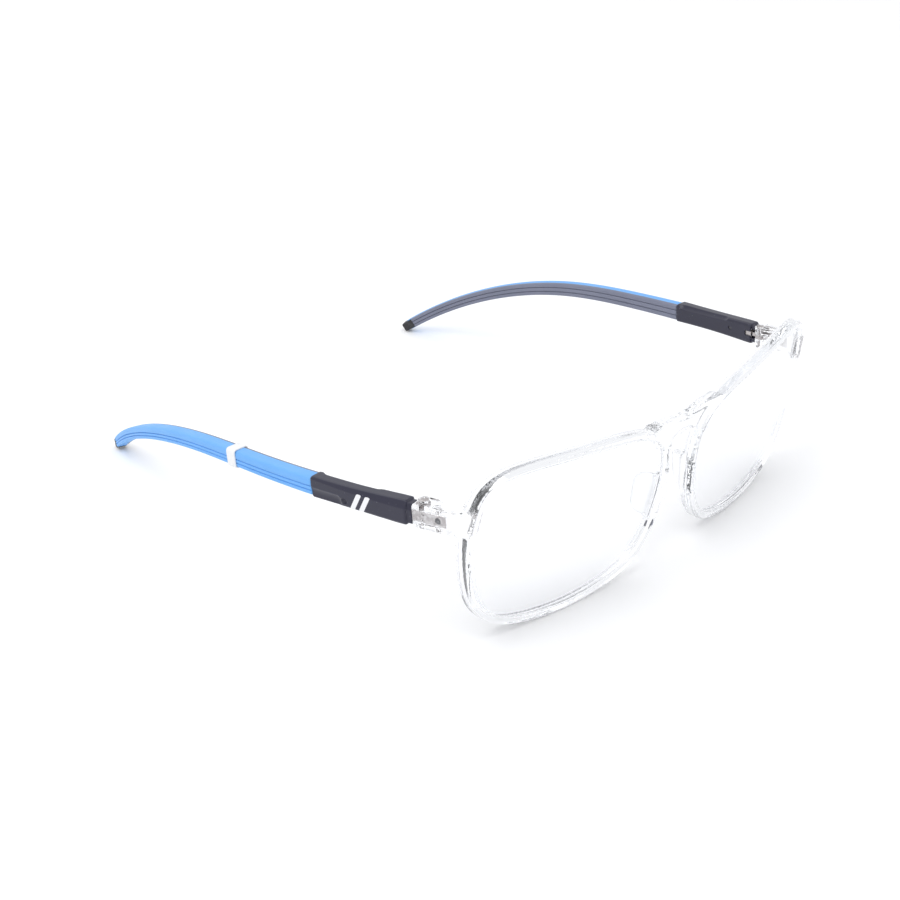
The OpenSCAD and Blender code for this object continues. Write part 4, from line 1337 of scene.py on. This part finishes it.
@dataclass
class Temple(SidePart):
    """One temple behind the hinge: hard front part, stripes, spine, two soft covers and the marker band."""

    banded: bool
    joint: float = 32.5
    neck_front: float = 4.05
    body_front: float = 5.35
    bare_tip: float = 4.0
    core_half: float = 0.6
    skin_height: float = 0.85
    gap: float = 0.02
    band_at: float = 59.5
    band_width: float = 3.0
    band_thickness: float = 0.4
    seam_in: float = 1.0
    tip_cap: float = 2.2
    outer_grooves: tuple = (-0.46, -0.02)
    inner_grooves: tuple = (-0.34, 0.32)
    stripes: tuple = ((15.95, 17.3), (18.4, 19.75))
    stripe_slant: float = 2.1
    flute: tuple = (3.3, (4.86, 24.7, -1.62), (4.82, 60, -1.6))
    pit: tuple = (0.6, (2.12, 22.2, -1.0), (2.12, 22.9, -1.05))
    scallop: tuple = (3.4, (-3.72, 15.5, 4.5), (-3.85, 29.5, 4.15))
    pip_radius: float = 0.4
    pip_height: float = 0.62
    tip_share: float = 0.92
    groove_depth: float = 0.2
    groove_half: float = 0.1

    def bent(self, name: str, points: np.ndarray, faces: Sequence, finish: bpy.types.Material,
             angle: float) -> bpy.types.Object:
        """Bends a straight piece onto the temple's curve."""
        made = new_object(name, points, faces)
        face_outwards(made)
        bake_nodes(made, self.trees.bend, self.spine.tree_values(self.side, finish))
        return settle(made, angle)

    def build(self, palette: Palette) -> list[bpy.types.Object]:
        """Makes this temple's pieces and puts them on its body."""
        made = [
            (self.housing(palette.get(Finish.HOUSING)), "temple_front", "black_nylon"),
            (self.core(palette.get(Finish.SPINE)), "temple_core", "black_spine"),
            (self.cover(Facing.OUTER, palette.get(Finish.BLUE)), "outer_cover", "blue_cover"),
            (self.cover(Facing.INNER, palette.get(Finish.GREY)), "inner_cover", "grey_cover"),
        ]
        if self.banded:
            made.append((self.band(palette.get(Finish.WHITE_BAND)), "marker_band", "white_band"))
        for piece, node, slot in made:
            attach(piece, self.name("temple"))
            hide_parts(self.name(node))
        painted = [self.stripe(k, palette.get(Finish.PAINT)) for k in range(len(self.stripes))]
        for piece in painted:
            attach(piece, self.name("temple"))
        return [piece for piece, _, _ in made] + painted

    # -- hard front part

    def body_height(self, s: float) -> float:
        """Height of the hard front part: full by the hinge and at the joint, waisted between."""
        return self.spine.height(s) + 0.75 - 0.35 * math.sin(math.pi * min(1, max(0, (s - 8) / 26)))

    def body_section(self, s: float, inset: float) -> np.ndarray:
        """Section of the hard front part, inset all round."""
        b = self.body_height(s) / 2 - inset
        ao = self.spine.half_thickness(s) + 0.15 - inset
        ai = self.spine.half_thickness(s) + 0.05 - inset
        near = 1 - s / self.joint
        drop, step = 0.35 + 1.5 * near, 0.35 + 0.55 * near
        return np.array([
            (-ai, -b + 0.5), (-ai + 0.15, -b + 0.15), (-ai + 0.5, -b), (ao - 0.5, -b), (ao - 0.15, -b + 0.15),
            (ao, -b + 0.5), (ao, b - drop), (ao - step, b - 0.08), (ao - step - 0.4, b),
            (-ai + 0.6, b), (-ai + 0.15, b - 0.2), (-ai, b - 0.6),
        ])

    def housing(self, finish: bpy.types.Material) -> bpy.types.Object:
        """The hard black part, with its flute, scallop, pocket, tongue window and socket."""
        fine = 0.115
        block = Casting((-2.6, 3.6, -3.4), (2.75, 33.1, 3.4), (fine, fine * 1.2, fine))
        u, s, z = block.grid()
        flat_u, flat_z = u[:, 0, :], z[:, 0, :]
        body, neck, grip = (np.empty(block.values.shape) for _ in range(3))
        for k, at in enumerate(s.ravel()):
            body[:, k] = outline_distance(self.body_section(at, 0.14), flat_u, flat_z) - 0.14
            neck[:, k] = body[:, k] + 0.5
            half = self.spine.height(at) / 2 - self.skin_height + self.gap
            grip[:, k] = box_distance((self.core_half + self.gap, half), 0.0, flat_u, flat_z)
        body = smooth_max(body, np.maximum(self.body_front - s, s - self.joint), 0.55)
        neck = np.maximum(neck, np.maximum(self.neck_front - s, s - self.body_front - 0.6))
        block.join(body, 0.0)
        block.join(neck, 0.15)
        block.carve(np.maximum(grip, self.joint - 6.02 - s), 0.03)
        x, y, h = self.spine.to_hinge(u, s, z)
        block.carve(box_distance((1.02, 5.0, 1.22), 0.0, x - 0.7, y - 12.42 + 5.0, h), 0.03)
        block.carve(box_distance((2.0, 3.0, 0.62), 0.0, x - 2.1, y - 4.5, h), 0.03)
        block.carve(rod_distance(0.46, 3.0, 0.0, y - 12.9, h, x - 1.78), 0.02)
        for bar, rounding in ((self.flute, 0.05), (self.pit, 0.05), (self.scallop, 0.06)):
            block.carve(capsule_distance(*bar, u, s, z), rounding)
        points, faces = block.skin()
        return self.bent(self.name("black_housing"), relax(points, faces, 1, 0.4), faces, finish, 50)

    def stripe(self, index: int, finish: bpy.types.Material) -> bpy.types.Object:
        """One slanted painted stripe on the outer face, a thin film that follows the face."""
        start, end = self.stripes[index]
        rows, cols = 22, 10
        film, points = 0.025, []
        for side in (1, 0):
            for i in range(rows):
                for j in range(cols):
                    t, across = i / (rows - 1), j / (cols - 1)
                    s = start + (end - start) * across + self.stripe_slant * (0.5 - t)
                    b = self.body_height(s) / 2
                    ao = self.spine.half_thickness(s) + 0.15
                    near = 1 - s / self.joint
                    drop, step = 0.35 + 1.5 * near, 0.35 + 0.55 * near
                    low, high = -b + 0.1, b - drop + 0.1
                    pinch = 0.16 * (abs(2 * across - 1) ** 4)
                    z = low + pinch + (high - low - 2 * pinch) * t
                    x = np.interp(z, [-b, -b + 0.15, -b + 0.5, b - drop, b], [ao - 0.5, ao - 0.15, ao, ao, ao - step])
                    edge = min(1.0, 6 * min(t, 1 - t, across, 1 - across) + 0.25)
                    points.append((x + (film * edge if side else -0.08), s, z))
        n = rows * cols
        faces = [(i * cols + j, i * cols + j + 1, (i + 1) * cols + j + 1, (i + 1) * cols + j)
                 for i in range(rows - 1) for j in range(cols - 1)]
        faces += [tuple(n + k for k in reversed(f)) for f in faces]
        rim = [j for j in range(cols)] + [i * cols + cols - 1 for i in range(1, rows)]
        rim += [(rows - 1) * cols + j for j in range(cols - 2, -1, -1)] + [i * cols for i in range(rows - 2, 0, -1)]
        faces += [(rim[k], n + rim[k], n + rim[(k + 1) % len(rim)], rim[(k + 1) % len(rim)]) for k in range(len(rim))]
        return self.bent(self.name(f"painted_stripe_{index + 1}"), np.array(points), faces, finish, 40)

    # -- spine and covers

    def tip_half(self, s: float, grow: float) -> tuple[float, float]:
        """Half thickness and half height of the bare tip."""
        share = self.tip_share * grow
        return self.spine.half_thickness(s) * share, self.spine.height(s) / 2 * share

    def core(self, finish: bpy.types.Material) -> bpy.types.Object:
        """The dark spine: a bar inside the covers, then the bare block and cap at the tip."""
        rows: list[np.ndarray] = []
        at: list[float] = []
        end, bare, cap = self.spine.length, self.spine.length - self.bare_tip, self.spine.length - self.tip_cap
        for s in np.linspace(self.joint - 6, bare - 0.01, 60):
            rows.append(rounded_line(self.core_half, self.spine.height(s) / 2 - self.skin_height, 0.12))
            at.append(float(s))
        edge = self.seam_in + self.gap / 2
        for s, grow in ((bare, 0.88), (bare + 0.06, 0.97), (bare + 0.2, 1.0), (cap - 0.01, 1.0)):
            a, b = self.tip_half(s, grow)
            low = self.spine.height(s) / 2 - self.skin_height
            block = np.array([
                (self.core_half, 0), (self.core_half, low), (-edge, low), (-edge, b),
                (-a + 0.25, b), (-a, b - 0.25), (-a, -b + 0.25), (-a + 0.25, -b),
                (-edge, -b), (-edge, -low), (self.core_half, -low), (self.core_half, 0),
            ])
            rows.append(even_line(block, SECTION_POINTS + 1)[:-1])
            at.append(s)
        for s, grow in ((cap, 0.9), (cap + 0.05, 0.97), (cap + 0.16, 1.0), (end - 0.4, 1.0), (end - 0.18, 0.96),
                        (end - 0.05, 0.88), (end, 0.76)):
            a, b = self.tip_half(s, grow)
            rows.append(rounded_line(a, b, 0.5 * grow))
            at.append(s)
        points, faces = loft(rows, at)
        made = self.bent(self.name("dark_spine"), points, faces, finish, 38)
        return self.with_tip_pips(made, finish)

    def with_tip_pips(self, made: bpy.types.Object, finish: bpy.types.Material) -> bpy.types.Object:
        """Adds the two small round moulding pips on the outer face of the tip."""
        station = self.spine.length - self.tip_cap * 0.52
        place, outward, up = (v[0] for v in self.spine.frames(np.array([station])))
        along = np.cross(up, outward)
        shift = np.array([0, -self.spine.back_shift, self.spine.stand_height])
        face = outward * self.spine.half_thickness(station) * self.tip_share
        work = bmesh.new()
        work.from_mesh(made.data)
        for height in (self.pip_height, -self.pip_height):
            centre = place + shift + up * height + face
            turn = Matrix((along, up, outward)).transposed().to_4x4()
            turn.translation = Vector(centre)
            flip = Matrix.Diagonal((self.side.mirror * MM, MM, MM, 1))
            added = bmesh.ops.create_uvsphere(work, u_segments=20, v_segments=12, radius=self.pip_radius)["verts"]
            bmesh.ops.transform(work, matrix=flip @ turn @ Matrix.Diagonal((1, 1, 0.3, 1)), verts=added)
            if self.side is Side.RIGHT:
                continue
            bmesh.ops.reverse_faces(work, faces=list({f for v in added for f in v.link_faces}))
        work.to_mesh(made.data)
        work.free()
        return dress(settle(made, 38), finish)

    def cover_line(self, facing: Facing, s: float, count: int = 64) -> np.ndarray:
        """Outer line of a cover's section, bottom to top, as (outward, up)."""
        grooves = self.outer_grooves if facing is Facing.OUTER else self.inner_grooves
        v = np.cos(np.linspace(math.pi, 0, 400))
        power = np.where(v < 0, 8.0, 5.0 if facing is Facing.OUTER else 7.0)
        wide = np.maximum(1 - np.abs(v) ** power, 0) ** (1 / power)
        cut = sum(self.groove_depth * np.maximum(0, 1 - np.abs(v - g) / self.groove_half) ** 1.2 for g in grooves)
        half, tall = self.spine.half_thickness(s), self.spine.height(s) / 2
        seam = self.gap / 2 - self.seam_in * facing.value
        line = np.column_stack([np.maximum(wide - cut, 0) * half, v * tall])
        line = line[line[:, 0] > seam]
        line = np.vstack([[seam, line[0, 1]], line, [seam, line[-1, 1]]])
        return even_line(line, count)

    def cover(self, facing: Facing, finish: bpy.types.Material) -> bpy.types.Object:
        """One half of the soft sleeve round the spine."""
        g = self.gap
        last = self.spine.length - (self.tip_cap if facing is Facing.OUTER else self.bare_tip) - g
        seam, fit = g / 2 - self.seam_in * facing.value, g * facing.value
        body = np.linspace(self.joint + g + 0.35, last - 0.4, 110)
        first = self.joint + g
        ends = ((0.0, 0.24), (0.04, 0.12), (0.14, 0.04))
        plan = [(first + d, t) for d, t in ends] + [(float(s), 0.0) for s in body]
        plan += [(last - d, t) for d, t in reversed(ends)]
        rows = []
        for s, tuck in plan:
            half, tall = self.core_half + g, self.spine.height(s) / 2 - self.skin_height + fit
            outer = self.cover_line(facing, s)
            low, top = outer[0, 1], outer[-1, 1]
            inner = even_line(np.array([(seam, low), (seam, -tall), (half, -tall), (half, tall), (seam, tall),
                                        (seam, top)]), len(outer))
            shrink = outer + (inner - outer) * tuck
            rows.append((s, shrink, inner))
        n = len(rows[0][1])
        ring = 2 * n - 2
        points = []
        for s, outer, inner in rows:
            inner = inner.copy()
            inner[:, 1] = np.clip(inner[:, 1], outer[:, 1].min(), outer[:, 1].max())
            loop = np.vstack([outer, inner[-2:0:-1]])
            points.append(np.column_stack([loop[:, 0] * facing.value, np.full(ring, s), loop[:, 1]]))
        faces = ring_faces(len(rows), ring)
        for base, turned in ((0, False), ((len(rows) - 1) * ring, True)):
            for k in range(n - 1):
                inner_here = base + (ring - k) % ring if k else base
                inner_next = base + ring - (k + 1) if k + 1 < n - 1 else base + n - 1
                quad = [base + k, base + k + 1, inner_next, inner_here]
                quad = [q for i, q in enumerate(quad) if q not in quad[:i]]
                if len(quad) > 2:
                    faces.append(tuple(reversed(quad)) if turned else tuple(quad))
        what = "blue_cover" if facing is Facing.OUTER else "grey_cover"
        return self.bent(self.name(what), np.vstack(points), faces, finish, 44)

    def band(self, finish: bpy.types.Material) -> bpy.types.Object:
        """The raised band round the covers."""
        w, t = self.band_width / 2, self.band_thickness
        lines = [(-w, 0.05), (-w, t - 0.16), (-w + 0.05, t - 0.06), (-w + 0.16, t), (w - 0.16, t), (w - 0.05, t - 0.06),
                 (w, t - 0.16), (w, 0.05)]
        rows = []
        for along, rise in lines:
            s = self.band_at + along
            half, tall = self.spine.half_thickness(s) + rise, self.spine.height(s) / 2 + rise
            shape = rounded_box(half, tall, 0.5 + rise, 10)
            rows.append(np.column_stack([shape[:, 0], np.full(len(shape), s), shape[:, 1]]))
        faces = ring_faces(len(rows), len(rows[0]), closed=True)
        return self.bent(self.name("white_band"), np.vstack(rows), faces, finish, 40)


# ---------------------------------------------------------------- the studio


@dataclass
class Studio:
    """A pale floor, soft light and the camera."""

    camera_at: tuple = (-0.27174, -0.25387, 0.19683)
    azimuth: float = -46.84
    elevation: float = 27.47
    lens: float = 61.67
    floor_half: float = 3.0
    lamps: tuple = (
        ("key", (-0.45, -0.05, 0.8), 0.6, 2.6),
        ("fill", (0.6, -0.5, 0.6), 0.8, 0.8),
        ("rear", (0.1, 0.75, 0.6), 0.8, 0.9),
    )
    surround: tuple = (0.97, 0.98, 1.0, 1.0)
    surround_strength: float = 0.95

    def build(self) -> None:
        """Sets up the floor, the light and the camera."""
        self.floor()
        self.lights()
        self.camera()

    def floor(self) -> None:
        """A wide pale floor just under the object."""
        size = self.floor_half
        made = new_object("floor", np.array([(-size, -size, 0), (size, -size, 0), (size, size, 0), (-size, size, 0)]),
                          [(0, 1, 2, 3)])
        material, w, shader = start_material("pale_floor")
        place = w.add("ShaderNodeTexCoord").outputs["Object"]
        tone = w.noise(place, 3.0, 2.0)
        w.feed(shader.inputs["Base Color"], w.mix(tone, (0.93, 0.93, 0.935, 1), (0.95, 0.95, 0.955, 1)))
        shader.inputs["Roughness"].default_value = 0.6
        shader.inputs["Specular IOR Level"].default_value = 0.2
        dress(made, material)

    def lights(self) -> None:
        """Large soft lamps and a bright, even surround."""
        scene = bpy.context.scene
        scene.view_settings.view_transform = "Standard"
        scene.cycles.max_bounces = 32
        scene.cycles.glossy_bounces = 24
        scene.cycles.transmission_bounces = 32
        world = bpy.data.worlds.new("studio")
        scene.world = world
        world.use_nodes = True
        back = world.node_tree.nodes["Background"]
        back.inputs["Color"].default_value = self.surround
        back.inputs["Strength"].default_value = self.surround_strength
        for name, at, size, power in self.lamps:
            lamp = bpy.data.lights.new(name, "AREA")
            lamp.energy, lamp.size = power, size
            made = bpy.data.objects.new(name, lamp)
            made.location = at
            made.rotation_euler = (Vector((0, 0, 0.02)) - Vector(at)).to_track_quat("-Z", "Y").to_euler()
            bpy.context.scene.collection.objects.link(made)

    def camera(self) -> None:
        """The camera, level, a little above the spectacles."""
        data = bpy.data.cameras.new("camera")
        data.lens, data.sensor_width = self.lens, 36.0
        data.clip_start, data.clip_end = 0.01, 20.0
        made = bpy.data.objects.new("camera", data)
        a, e = math.radians(self.azimuth), math.radians(self.elevation)
        back = Vector((math.sin(a) * math.cos(e), -math.cos(a) * math.cos(e), math.sin(e)))
        made.location = self.camera_at
        made.rotation_mode = "QUATERNION"
        made.rotation_quaternion = (-back).to_track_quat("-Z", "Y")
        bpy.context.scene.collection.objects.link(made)
        bpy.context.scene.camera = made


def report(made: Sequence[bpy.types.Object]) -> None:
    """Logs each piece with its size."""
    for piece in made:
        log.info("%s: %d faces", piece.name, len(piece.data.polygons))


def main() -> None:
    """Builds the spectacles, then the studio."""
    logging.basicConfig(level=logging.INFO, format="%(name)s: %(message)s")
    spine, trees, palette = SpineRule(), TempleTrees(), Palette()
    report(ClearFront(spine).build(palette))
    for side in Side:
        report(SprungHinge(side, spine, trees).build(palette))
        report(Temple(side, spine, trees, banded=side is Side.RIGHT).build(palette))
    Studio().build()


if __name__ == "__main__":
    main()
